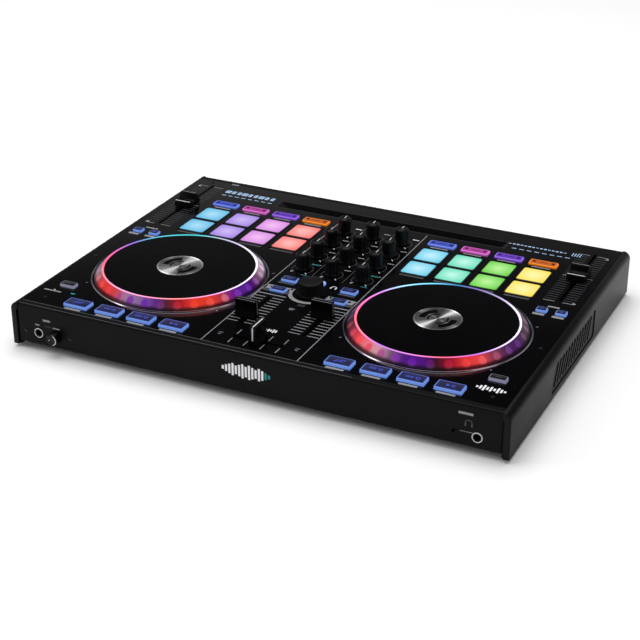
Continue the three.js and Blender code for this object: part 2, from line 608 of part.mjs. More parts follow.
function frontFittings() {
  jack('mic_jack', MIC_X, FRONT_Z, JACK_BORE, JACK_RADIUS, JACK_LENGTH);
  jack('phones_jack', PHONES_X, PHONES_Z, JACK_BORE, JACK_RADIUS, JACK_LENGTH);
  jack('mini_phones_jack', MINI_X, FRONT_Z, MINI_BORE, MINI_RADIUS, MINI_LENGTH);
  const tip = FRONT - PROUD;
  const foot = FRONT - JACK_FACE;
  const edge = 0.8;
  part('mic_level_knob', turnedAlongY(MIC_KNOB_X, FRONT_Z, [
    [0, tip], [MIC_KNOB_RADIUS - edge, tip], [MIC_KNOB_RADIUS, tip + edge], [MIC_KNOB_RADIUS, foot],
    [SHAFT_RADIUS, foot], [SHAFT_RADIUS, FRONT + MIC_SHAFT], [0, FRONT + MIC_SHAFT],
  ], 18), BLACK);
}

function rearFittings() {
  const face = BACK + SOCKET_FACE;
  const block = box(REAR_X - SOCKET_PITCH * 2, REAR_X + SOCKET_PITCH * 2,
    BACK - SHEET - SOCKET_BODY, face, FRONT_Z - SOCKET_HALF, FRONT_Z + SOCKET_HALF);
  const along = (radius, from, to, segments) => {
    const profile = [[0, from], [radius, from], [radius, to], [0, to]];
    return four.map((i) => turnedAlongY(REAR_X + i * SOCKET_PITCH, FRONT_Z, profile, segments));
  };
  const barrels = along(SOCKET_BARREL, BACK, BACK + PROUD, 12);
  const bores = along(SOCKET_BORE, BACK - JACK_END, BACK + PROUD + 1, 8);
  part('output_sockets', cut(join([block, ...barrels]), bores), BRIGHT);

  const tunnel = ([halfWidth, halfHeight], from, to) =>
    box(USB_X - halfWidth, USB_X + halfWidth, from, to, FRONT_Z - halfHeight, FRONT_Z + halfHeight);
  const shell = tunnel(USB_HALF, BACK - USB_LENGTH, face);
  part('usb_socket', shell.subtract(tunnel(USB_MOUTH, BACK - USB_REACH, BACK + 1)), BRIGHT);

  const [halfWidth, halfHeight] = ROCKER_HALF.map((half) => half - ROCKER_SLIP);
  const rocker = new THREE.Shape();
  rocker.moveTo(-halfWidth, BACK - 4);
  rocker.lineTo(halfWidth, BACK - 4);
  rocker.lineTo(halfWidth, BACK + 0.8);
  rocker.lineTo(0, BACK - 0.2);
  rocker.lineTo(-halfWidth, BACK + 2.6);
  const geometry = new THREE.ExtrudeGeometry(rocker, { depth: 2 * halfHeight, bevelEnabled: false });
  part('power_switch', solid(geometry.translate(SWITCH_X, 0, FRONT_Z - halfHeight)), BLACK);
}

// ---------- assembly ----------
bottomTray();
controlPanel();
tabletGroove();
feet();
mainBoard();
for (const [side, sign] of SIDES) {
  endCap(side, sign);
  spindle(side, sign);
  jogWheel(side, sign);
  deckKeys(side, sign);
}
mixerKnobs();
faders();
frontFittings();
rearFittings();

export default model;
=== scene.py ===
"""Looks of a two-deck DJ controller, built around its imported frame.

Lengths in the code are millimetres and become metres when a mesh is finished. The frame is that of the
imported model: +X to the player's right, +Y away from the player, +Z up, and the table at z = 0.
"""
import logging
import math
from collections.abc import Iterable, Iterator, Sequence
from contextlib import contextmanager
from dataclasses import dataclass, field
from enum import Enum

import bmesh
import bpy
from mathutils import Matrix, Vector


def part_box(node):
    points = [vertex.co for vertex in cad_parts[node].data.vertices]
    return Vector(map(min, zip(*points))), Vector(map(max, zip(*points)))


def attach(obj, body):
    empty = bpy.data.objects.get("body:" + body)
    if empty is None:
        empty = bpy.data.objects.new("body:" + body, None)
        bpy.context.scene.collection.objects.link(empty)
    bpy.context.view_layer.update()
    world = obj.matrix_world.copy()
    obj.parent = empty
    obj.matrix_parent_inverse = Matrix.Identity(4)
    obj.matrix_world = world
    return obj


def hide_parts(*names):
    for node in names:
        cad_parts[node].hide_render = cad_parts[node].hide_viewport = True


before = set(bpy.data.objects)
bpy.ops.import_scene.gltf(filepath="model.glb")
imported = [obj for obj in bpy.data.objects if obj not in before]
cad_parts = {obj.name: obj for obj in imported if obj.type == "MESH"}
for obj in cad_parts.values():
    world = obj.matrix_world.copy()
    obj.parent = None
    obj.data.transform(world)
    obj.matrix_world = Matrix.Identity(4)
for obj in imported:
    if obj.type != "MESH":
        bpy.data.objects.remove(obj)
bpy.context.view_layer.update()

log = logging.getLogger("dj_controller")
MM = 0.001
FULL_TURN = 2 * math.pi
HOUSING = "housing"
KEY_MARGIN = 1.5  # carrier sheet past the outermost keys
Point = tuple[float, float]
Colour = tuple[float, float, float, float]
Socket = bpy.types.NodeSocket


class Side(Enum):
    """The two halves of the mirrored layout, with the sign of their X."""

    LEFT = -1
    RIGHT = 1

    @property
    def label(self) -> str:
        """Word that node and body names start with."""
        return self.name.lower()


class Axis(Enum):
    """Direction that a turned or extruded shape runs along."""

    X = 0
    Y = 1
    Z = 2


def tint(code: str, level: float = 1.0) -> Colour:
    """Linear colour of a six-digit display code.

    Args:
        code: Red, green and blue as hexadecimal pairs.
        level: Factor on all three.

    Returns:
        Linear red, green, blue and alpha.
    """
    parts = [int(code[i:i + 2], 16) / 255 for i in (0, 2, 4)]
    linear = [p / 12.92 if p <= 0.04045 else ((p + 0.055) / 1.055) ** 2.4 for p in parts]
    return (linear[0] * level, linear[1] * level, linear[2] * level, 1.0)


# ---------------------------------------------------------------- places taken from the frame
def box_mm(node: str) -> tuple[Vector, Vector]:
    """Lowest and highest corner of a frame node, in millimetres."""
    low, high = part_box(node)
    return Vector(low) / MM, Vector(high) / MM


def middle(node: str) -> Vector:
    """Middle of a frame node's box, in millimetres."""
    low, high = box_mm(node)
    return (low + high) / 2


def mixer_knobs() -> list[str]:
    """Frame nodes of the knobs on the panel."""
    return [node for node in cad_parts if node.endswith("_knob") and node != "mic_level_knob"]


def key_places(node: str, size: Point, columns: int, rows: int) -> list[Point]:
    """Middles of the keys of a set, worked out from the set's box.

    Args:
        node: Frame node of the set.
        size: Width and depth of one key.
        columns: Keys in a row.
        rows: Rows of keys.

    Returns:
        Middles, column by column, front row first.
    """
    low, high = box_mm(node)
    first = (low.x + KEY_MARGIN + size[0] / 2, low.y + KEY_MARGIN + size[1] / 2)
    last = (high.x - KEY_MARGIN - size[0] / 2, high.y - KEY_MARGIN - size[1] / 2)
    step_x = (last[0] - first[0]) / max(1, columns - 1)
    step_y = (last[1] - first[1]) / max(1, rows - 1)
    return [(first[0] + c * step_x, first[1] + r * step_y) for c in range(columns) for r in range(rows)]


@dataclass(frozen=True)
class Layout:
    """Places on the controller that several sub-assemblies share, all read from the frame."""

    panel_top: float = box_mm("top_plate")[1].z
    front: float = box_mm("bottom_tray")[0].y
    back: float = box_mm("bottom_tray")[1].y
    tray_half: float = box_mm("bottom_tray")[1].x
    tray_low: float = box_mm("bottom_tray")[0].z
    outer_half: float = box_mm("right_end_cap")[1].x
    deck_x: float = middle("right_jog_rim").x
    deck_y: float = middle("right_jog_rim").y
    jog_top: float = box_mm("right_jog_rim")[1].z
    jog_radius: float = (box_mm("right_jog_rim")[1].x - box_mm("right_jog_rim")[0].x) / 2
    front_line: float = middle("mic_jack").z

    def deck(self, side: Side) -> Point:
        """Middle of a deck's jog wheel."""
        return (side.value * self.deck_x, self.deck_y)


# ---------------------------------------------------------------- node trees
class NodeMaker:
    """Short calls for adding and joining nodes in one tree."""

    def __init__(self, tree: bpy.types.NodeTree) -> None:
        """Keeps the tree.

        Args:
            tree: A material's, a world's or a group's node tree.
        """
        self.tree = tree

    def feed(self, socket: Socket, value: object) -> None:
        """Links or sets a socket.

        Args:
            socket: The input.
            value: Another socket, or a constant.
        """
        if isinstance(value, bpy.types.NodeSocket):
            self.tree.links.new(value, socket)
        else:
            socket.default_value = value

    def add(self, kind: str, inputs: dict[str | int, object] | None = None, **settings: object) -> bpy.types.Node:
        """Adds a node.

        Args:
            kind: Node type.
            inputs: Sockets or constants, by input name or number.
            **settings: Attributes of the node.

        Returns:
            The new node.
        """
        node = self.tree.nodes.new(kind)
        for name, value in settings.items():
            setattr(node, name, value)
        for name, value in (inputs or {}).items():
            self.feed(node.inputs[name], value)
        return node

    def math(self, operation: str, a: object, b: object = 0.0, clamp: bool = False) -> Socket:
        """Result of a Math node.

        Args:
            operation: The node's operation.
            a: First operand.
            b: Second operand.
            clamp: Whether the result is held between 0 and 1.

        Returns:
            The output socket.
        """
        return self.add("ShaderNodeMath", {0: a, 1: b}, operation=operation, use_clamp=clamp).outputs[0]

    def mix(self, factor: object, a: object, b: object) -> Socket:
        """Colour between a and b.

        Args:
            factor: 0 gives a, 1 gives b.
            a: First colour.
            b: Second colour.

        Returns:
            The output socket.
        """
        node = self.add("ShaderNodeMix", data_type="RGBA")
        for socket, value in zip((node.inputs[0], node.inputs[6], node.inputs[7]), (factor, a, b)):
            self.feed(socket, value)
        return node.outputs[2]

    def ramp(self, factor: Socket, stops: Sequence[tuple[float, Colour]]) -> Socket:
        """Colour ramp.

        Args:
            factor: Where along the ramp.
            stops: Position and colour of each stop, in rising order.

        Returns:
            The colour socket.
        """
        node = self.add("ShaderNodeValToRGB", {0: factor})
        elements = node.color_ramp.elements
        while len(elements) < len(stops):
            elements.new(0.5)
        for element, (position, colour) in zip(elements, stops):
            element.position = position
        for element, (position, colour) in zip(elements, stops):
            element.color = colour
        return node.outputs[0]

    def span(self, value: Socket, low: float, high: float) -> Socket:
        """0 at low, 1 at high, smooth between.

        Args:
            value: What is measured.
            low: Value that gives 0.
            high: Value that gives 1.

        Returns:
            The output socket.
        """
        node = self.add("ShaderNodeMapRange", {0: value, 1: low, 2: high}, interpolation_type="SMOOTHSTEP")
        return node.outputs[0]


def new_group(name: str, inputs: Sequence[tuple[str, str]],
              outputs: Sequence[str]) -> tuple[NodeMaker, object, object]:
    """Empty shader group with its sockets.

    Args:
        name: The group's name.
        inputs: Name and socket type of each input.
        outputs: Names of the number outputs.

    Returns:
        A maker for the group, its input node and its output node.
    """
    tree = bpy.data.node_groups.new(name, "ShaderNodeTree")
    for label, kind in inputs:
        tree.interface.new_socket(label, in_out="INPUT", socket_type=kind)
    for label in outputs:
        tree.interface.new_socket(label, in_out="OUTPUT", socket_type="NodeSocketFloat")
    maker = NodeMaker(tree)
    return maker, maker.add("NodeGroupInput"), maker.add("NodeGroupOutput")


def surface_grain() -> bpy.types.NodeTree:
    """Shared effect: fine moulding grain, slow cloudiness and dust specks.

    Returns:
        A group with inputs Scale and Specks, and outputs Grain, Cloud and Dust, each from 0 to 1.
    """
    maker, given, result = new_group(
        "surface_grain", [("Scale", "NodeSocketFloat"), ("Specks", "NodeSocketFloat")], ["Grain", "Cloud", "Dust"])
    place = maker.add("ShaderNodeTexCoord").outputs["Object"]
    grain = maker.add("ShaderNodeTexNoise", {"Vector": place, "Scale": given.outputs["Scale"], "Detail": 3.0})
    cloud = maker.add("ShaderNodeTexNoise", {"Vector": place, "Scale": 14.0, "Detail": 2.0})
    speck = maker.add("ShaderNodeTexVoronoi", {"Vector": place, "Scale": 260.0, "Randomness": 1.0})
    near = maker.math("SUBTRACT", 1.0, maker.span(speck.outputs["Distance"], 0.03, 0.1))
    up = maker.add("ShaderNodeSeparateXYZ", {0: maker.add("ShaderNodeNewGeometry").outputs["Normal"]}).outputs[2]
    facing = maker.span(up, 0.6, 0.95)
    rare = maker.span(maker.add("ShaderNodeTexNoise", {"Vector": place, "Scale": 90.0}).outputs["Fac"], 0.6, 0.7)
    seen = maker.math("MULTIPLY", near, facing)
    dust = maker.math("MULTIPLY", seen, maker.math("MULTIPLY", rare, given.outputs[1]))
    for label, value in (("Grain", grain.outputs["Fac"]), ("Cloud", cloud.outputs["Fac"]), ("Dust", dust)):
        maker.feed(result.inputs[label], value)
    return maker.tree


def polar_place() -> bpy.types.NodeTree:
    """Shared effect: angle and radius about an upright axis.

    Returns:
        A group with input Centre and outputs Turn, from 0 to 1 anticlockwise from +X, and Radius in metres.
    """
    maker, given, result = new_group("polar_place", [("Centre", "NodeSocketVector")], ["Turn", "Radius"])
    place = maker.add("ShaderNodeTexCoord").outputs["Object"]
    offset = maker.add("ShaderNodeVectorMath", {0: place, 1: given.outputs[0]}, operation="SUBTRACT").outputs[0]
    parts = maker.add("ShaderNodeSeparateXYZ", {0: offset})
    angle = maker.math("ARCTAN2", parts.outputs[1], parts.outputs[0])
    turn = maker.math("FRACT", maker.math("ADD", maker.math("DIVIDE", angle, FULL_TURN), 1.0))
    squares = [maker.math("MULTIPLY", parts.outputs[i], parts.outputs[i]) for i in (0, 1)]
    radius = maker.math("SQRT", maker.math("ADD", squares[0], squares[1]))
    maker.feed(result.inputs["Turn"], turn)
    maker.feed(result.inputs["Radius"], radius)
    return maker.tree


def lamp_spread() -> bpy.types.NodeTree:
    """Shared effect: how a lamp under a lit key or pad spreads over its face.

    Returns:
        A group with input Fall, and output Core, which is 1 over the lamp and 0 at the rim of the face.
    """
    maker, given, result = new_group("lamp_spread", [("Fall", "NodeSocketFloat")], ["Core"])
    place = maker.add("ShaderNodeUVMap", uv_map="Face").outputs[0]
    offset = maker.add("ShaderNodeVectorMath", {0: place, 1: (0.5, 0.5, 0.0)}, operation="SUBTRACT").outputs[0]
    reach = maker.add("ShaderNodeVectorMath", {0: offset}, operation="LENGTH").outputs["Value"]
    haze = maker.add("ShaderNodeTexNoise", {"Vector": place, "Scale": 3.0}).outputs["Fac"]
    uneven = maker.math("ADD", reach, maker.math("MULTIPLY", maker.math("SUBTRACT", haze, 0.5), 0.12))
    core = maker.math("SUBTRACT", 1.0, maker.math("DIVIDE", uneven, given.outputs[0], clamp=True), clamp=True)
    maker.feed(result.inputs["Core"], core)
    return maker.tree


@dataclass(frozen=True)
class Effects:
    """The shared groups, each built once."""

    grain: bpy.types.NodeTree = field(default_factory=surface_grain)
    polar: bpy.types.NodeTree = field(default_factory=polar_place)
    lamp: bpy.types.NodeTree = field(default_factory=lamp_spread)


class Dressing:
    """A material being made: its node maker and its Principled shader."""

    def __init__(self, name: str, **constants: object) -> None:
        """Starts a material.

        Args:
            name: The material's name.
            **constants: Shader sockets that are the same all over, with _ for a blank.
        """
        self.material = bpy.data.materials.new(name)
        self.material.use_nodes = True
        self.material.node_tree.nodes.clear()
        self.make = NodeMaker(self.material.node_tree)
        self.shader = self.make.add("ShaderNodeBsdfPrincipled")
        self.make.add("ShaderNodeOutputMaterial", {"Surface": self.shader.outputs[0]})
        for label, value in constants.items():
            self.wear(label.replace("_", " "), value)

    def wear(self, label: str, value: object) -> None:
        """Sets or links one of the shader's sockets."""
        self.make.feed(self.shader.inputs[label], value)

    def group(self, tree: bpy.types.NodeTree, inputs: dict[str | int, object]) -> bpy.types.Node:
        """Places a shared group.

        Args:
            tree: The group.
            inputs: Its inputs' values.

        Returns:
            The group node.
        """
        node = self.make.add("ShaderNodeGroup", node_tree=tree)
        for label, value in inputs.items():
            self.make.feed(node.inputs[label], value)
        return node

    def bump(self, height: Socket, depth: float) -> None:
        """Raises the surface by height times depth, in metres."""
        node = self.make.add("ShaderNodeBump", {"Strength": 1.0, "Distance": depth, "Height": height})
        self.wear("Normal", node.outputs[0])


# ---------------------------------------------------------------- finishes
@dataclass(frozen=True)
class Moulding:
    """Plastic, rubber or paint with a fine grain, for most of the dark pieces."""

    name: str
    colour: str
    roughness: float = 0.4
    specular: float = 0.5
    metallic: float = 0.0
    grain_scale: float = 2600.0
    grain_depth: float = 0.00002
    specks: float = 0.3
    lift: float = 1.5

    def material(self, effects: Effects) -> bpy.types.Material:
        """Builds the material.

        Args:
            effects: The shared groups.

        Returns:
            The material.
        """
        dress = Dressing(self.name, Metallic=self.metallic, Specular_IOR_Level=self.specular)
        skin = dress.group(effects.grain, {"Scale": self.grain_scale, "Specks": self.specks})
        base = dress.make.mix(skin.outputs["Cloud"], tint(self.colour), tint(self.colour, self.lift))
        dress.wear("Base Color", dress.make.mix(skin.outputs["Dust"], base, tint("777470")))
        spread = dress.make.math("MULTIPLY", skin.outputs["Cloud"], self.roughness * 0.3)
        dress.wear("Roughness", dress.make.math("ADD", spread, self.roughness * 0.85))
        dress.bump(skin.outputs["Grain"], self.grain_depth)
        return dress.material


@dataclass(frozen=True)
class LitFace:
    """Silicone or clear plastic lit from below by one lamp; its upright sides glow at the edge colour times a set
    factor, a painted shade where that is below 1 and a painted highlight above.
    """

    name: str
    core: str
    edge: str
    strength: float = 1.0
    fall: float = 0.75
    painted_side_level: float = 1.0
    roughness: float = 0.45
    specular: float = 0.3

    def material(self, effects: Effects) -> bpy.types.Material:
        """Builds the material.

        Args:
            effects: The shared groups.

        Returns:
            The material.
        """
        dress = Dressing(self.name, Specular_IOR_Level=self.specular, Emission_Strength=self.strength)
        make = dress.make
        core = dress.group(effects.lamp, {"Fall": self.fall}).outputs[0]
        up = make.add("ShaderNodeSeparateXYZ", {0: make.add("ShaderNodeNewGeometry").outputs["Normal"]}).outputs[2]
        face = make.mix(core, tint(self.edge), tint(self.core))
        # Painted shade and highlight: upright sides glow at the edge colour times a set factor.
        dress.wear("Emission Color", make.mix(make.span(up, 0.25, 0.9), tint(self.edge, self.painted_side_level), face))
        dress.wear("Base Color", make.mix(core, tint(self.edge, 0.04), tint(self.edge, 0.1)))
        skin = dress.group(effects.grain, {"Scale": 3000.0, "Specks": 0.0})
        spread = make.math("MULTIPLY", skin.outputs["Cloud"], 0.1)
        dress.wear("Roughness", make.math("ADD", spread, self.roughness))
        dress.bump(skin.outputs["Grain"], 0.00001)
        return dress.material


@dataclass(frozen=True)
class JogGlow:
    """Clear jog rim with finger dimples, lit by coloured lamps round the wheel; the dimples get a painted highlight
    in lighter colours, and the outer edge a painted shade.
    """

    name: str
    centre: Point
    walls: tuple[tuple[float, str], ...]
    dimples: tuple[tuple[float, str], ...]
    strength: float = 1.0
    count: int = 0
    band: Point = (0.0, 0.0)
    fade: Point = (0.0, 0.0)
    specular: float = 0.12

    def stops(self, colours: Sequence[tuple[float, str]]) -> list[tuple[float, Colour]]:
        """Turns degrees and codes into ramp stops that meet at 0 and 360 degrees.

        Args:
            colours: Angle in degrees, rising, and colour code.

        Returns:
            Ramp stops.
        """
        first, last = colours[0], colours[-1]
        gap = first[0] + 360 - last[0]
        share = (360 - last[0]) / gap if gap else 0
        ends = [a + (b - a) * share for a, b in zip(tint(last[1]), tint(first[1]))]
        seam = (ends[0], ends[1], ends[2], 1.0)
        inner = [(angle / 360, tint(code)) for angle, code in colours if 0 < angle < 360]
        return [(0.0, seam), *inner, (1.0, seam)]

    def material(self, effects: Effects) -> bpy.types.Material:
        """Builds the material.

        Args:
            effects: The shared groups.

        Returns:
            The material.
        """
        dress = Dressing(self.name, Specular_IOR_Level=self.specular, Emission_Strength=self.strength)
        make = dress.make
        where = (self.centre[0] * MM, self.centre[1] * MM, 0.0)
        polar = dress.group(effects.polar, {"Centre": where})
        turn = polar.outputs["Turn"]
        glow = make.ramp(turn, self.stops(self.walls))
        skin = dress.group(effects.grain, {"Scale": 900.0, "Specks": 0.0})
        if self.count:
            step = make.math("FRACT", make.math("MULTIPLY", turn, float(self.count)))
            across = make.math("MULTIPLY", make.math("SUBTRACT", step, 0.5), FULL_TURN * self.band[0] / self.count)
            along = make.math("DIVIDE", make.math("SUBTRACT", polar.outputs["Radius"], self.band[0] * MM), MM * 0.78)
            squares = [make.math("MULTIPLY", v, v) for v in (across, along)]
            reach = make.math("SQRT", make.math("ADD", squares[0], squares[1]))
            spot = make.math("SUBTRACT", 1.0, make.span(reach, self.band[1] * 0.72, self.band[1] * 1.1))
            # Painted highlight: each dimple glows in its own, mostly lighter colour.
            glow = make.mix(spot, glow, make.ramp(turn, self.stops(self.dimples)))
            # Painted shade: the glow darkens towards the rim's outer edge.
            outer_shade_mask = make.span(polar.outputs["Radius"], self.fade[0] * MM, self.fade[1] * MM)
            glow = make.mix(outer_shade_mask, glow, make.mix(0.92, glow, tint("10060C")))
        dress.wear("Emission Color", glow)
        dress.wear("Base Color", make.mix(skin.outputs["Cloud"], tint("020102"), tint("060406")))
        dress.wear("Roughness", make.math("ADD", make.math("MULTIPLY", skin.outputs["Cloud"], 0.1), 0.3))
        dress.bump(skin.outputs["Grain"], 0.00001)
        return dress.material


@dataclass(frozen=True)
class SpunMetal:
    """Metal turned on a lathe: fine rings, and fan-shaped highlights twice in a turn, painted into the base colour.
    """

    name: str
    centre: Point
    fans: tuple[tuple[float, float], ...]
    highlight_gain: float = 2.0
    roughness: float = 0.34
    metallic: float = 0.3
    ring: float = 0.00035
    depth: float = 0.000004
    anisotropy: float = 0.5

    def material(self, effects: Effects) -> bpy.types.Material:
        """Builds the material.

        Args:
            effects: The shared groups.

        Returns:
            The material.
        """
        dress = Dressing(self.name, Metallic=self.metallic, Anisotropic=self.anisotropy)
        make = dress.make
        polar = dress.group(effects.polar, {"Centre": (self.centre[0] * MM, self.centre[1] * MM, 0.0)})
        half_turn = make.math("FRACT", make.math("MULTIPLY", polar.outputs["Turn"], 2.0))
        # Painted highlight: brightness by angle round the centre, painted into the base colour.
        stops = [(degrees / 180, tint(f"{round(255 * white):02X}" * 3, self.highlight_gain)) for degrees, white in self.fans]
        wave = make.math("SINE", make.math("MULTIPLY", polar.outputs["Radius"], FULL_TURN / self.ring))
        skin = dress.group(effects.grain, {"Scale": 1500.0, "Specks": 0.0})
        haze = make.math("MULTIPLY", skin.outputs["Cloud"], 0.2)
        groove = make.math("ADD", make.math("MULTIPLY", wave, 0.12), haze)
        dress.wear("Base Color", make.mix(groove, make.ramp(half_turn, stops), tint("08080A")))
        dress.wear("Roughness", make.math("ADD", make.math("MULTIPLY", skin.outputs["Cloud"], 0.08), self.roughness))
        dress.wear("Tangent", make.add("ShaderNodeTangent", direction_type="UV_MAP", uv_map="Face").outputs[0])
        dress.bump(wave, self.depth)
        return dress.material


PLAIN_FINISHES = (
    Moulding("panel_gloss", "040405", 0.13, 0.34, grain_scale=900.0, grain_depth=0.000002, specks=0.5),
    Moulding("tray_steel", "080808", 0.42, 0.08, grain_scale=1500.0, grain_depth=0.00003),
    Moulding("groove_black", "141416", 0.3, 0.5),
    Moulding("end_cap_black", "080809", 0.42, 0.12, grain_scale=2200.0, grain_depth=0.00003),
    Moulding("foot_rubber", "141414", 0.85, 0.3, grain_scale=1200.0, grain_depth=0.0001),
    Moulding("circuit_board", "12402A", 0.5, 0.5, grain_scale=500.0, grain_depth=0.00005),
    Moulding("spindle_steel", "B8B8BC", 0.3, 0.5, metallic=1.0),
    Moulding("platter_black", "010102", 0.2, 0.08, grain_scale=1800.0, grain_depth=0.000004, specks=0.4),
    Moulding("knob_black", "020203", 0.28, 0.2, grain_scale=2600.0, specks=0.15),
    Moulding("fader_black", "020203", 0.4, 0.07, grain_scale=2600.0, specks=0.15),
    Moulding("socket_metal", "D8D8DA", 0.22, 0.5, metallic=1.0, grain_scale=1400.0, grain_depth=0.000005),
    Moulding("jack_chrome", "E8E8EA", 0.3, 0.5, grain_scale=1400.0, grain_depth=0.000005, lift=1.1),
    Moulding("bezel_metal", "B4B2BC", 0.2, 0.5, metallic=1.0, grain_scale=1400.0, grain_depth=0.000005),
    # Black plastic, also used as painted shade in the panel screws' cross recesses.
    Moulding("socket_plastic", "030303", 0.5, 0.3),
    Moulding("screw_black", "0C0C0D", 0.35, 0.5, metallic=0.6, grain_scale=1800.0),
    Moulding("switch_black", "060606", 0.25, 0.5),
    # Grey print, also used for a painted highlight on the pitch fader caps.
    Moulding("print_grey", "7A7A7C", 0.45, 0.3, grain_scale=1500.0, specks=0.1),
    Moulding("print_dim", "3E3E41", 0.45, 0.3, grain_scale=1500.0, specks=0.1),
    # Painted highlight along the panel's front edge.
    Moulding("edge_grey", "5C5C5E", 0.4, 0.4, grain_scale=1500.0, specks=0.1),
    Moulding("print_white", "E4E4E6", 0.4, 0.3, grain_scale=1500.0, specks=0.1, lift=1.1),
    Moulding("print_blue", "8FA9C6", 0.45, 0.3, grain_scale=1500.0, specks=0.1),
    Moulding("print_teal", "1F6F72", 0.45, 0.3, grain_scale=1500.0, specks=0.1),
    # White print, also used for the painted highlight crescent on the front level knob.
    Moulding("pointer_white", "C4C4C8", 0.4, 0.4, specks=0.1, lift=1.1),
    Moulding("legend_navy", "12183A", 0.3, 0.4, grain_scale=1800.0, specks=0.0),
    Moulding("legend_dark", "08080C", 0.25, 0.5, grain_scale=1800.0, specks=0.0),
    Moulding("pad_rim", "0A0A10", 0.5, 0.25),
    Moulding("encoder_black", "020202", 0.5, 0.15),
    Moulding("ring_red", "8A1210", 0.4, 0.5),
    Moulding("ring_ivory", "CFCBC0", 0.4, 0.5, lift=1.1),
    LitFace("key_blue", "86AAF0", "6C92E6", 0.95, painted_side_level=0.85),
    LitFace("key_pale", "8C8CA8", "77788F", 0.9, painted_side_level=1.1),
    LitFace("key_bright", "B9CCFF", "86A0F4", 1.0),
    LitFace("symbol_blue", "4456D8", "4456D8", 0.9),
    LitFace("lamp_teal", "3FC9D6", "2FA9B8", 0.9),
    LitFace("mode_blue", "8EA4FF", "6C86F2", 1.0, painted_side_level=0.5),
    LitFace("mode_pink", "F08CE8", "E06CD4", 1.0, painted_side_level=0.5),
    LitFace("mode_purple", "B080FF", "9460EC", 1.0, painted_side_level=0.5),
    LitFace("mode_orange", "FFA040", "FF8C1C", 0.95, painted_side_level=0.5),
    LitFace("mode_blue_cap", "4054C8", "2E3FA8", 0.9),
    LitFace("mode_pink_cap", "B8409F", "9C3088", 0.9),
    LitFace("mode_purple_cap", "6A36C0", "5226A8", 0.9),
    LitFace("mode_orange_cap", "CC6210", "B4500A", 0.9),
)


class Finishes:
    """Every finish that is not tied to one deck, ready as a material."""

    def __init__(self, effects: Effects) -> None:
        """Builds the plain finishes.

        Args:
            effects: The shared groups.
        """
        self.made = {finish.name: finish.material(effects) for finish in PLAIN_FINISHES}

    def pick(self, *names: str) -> list[bpy.types.Material]:
        """Materials of those names, in that order."""
        return [self.made[name] for name in names]


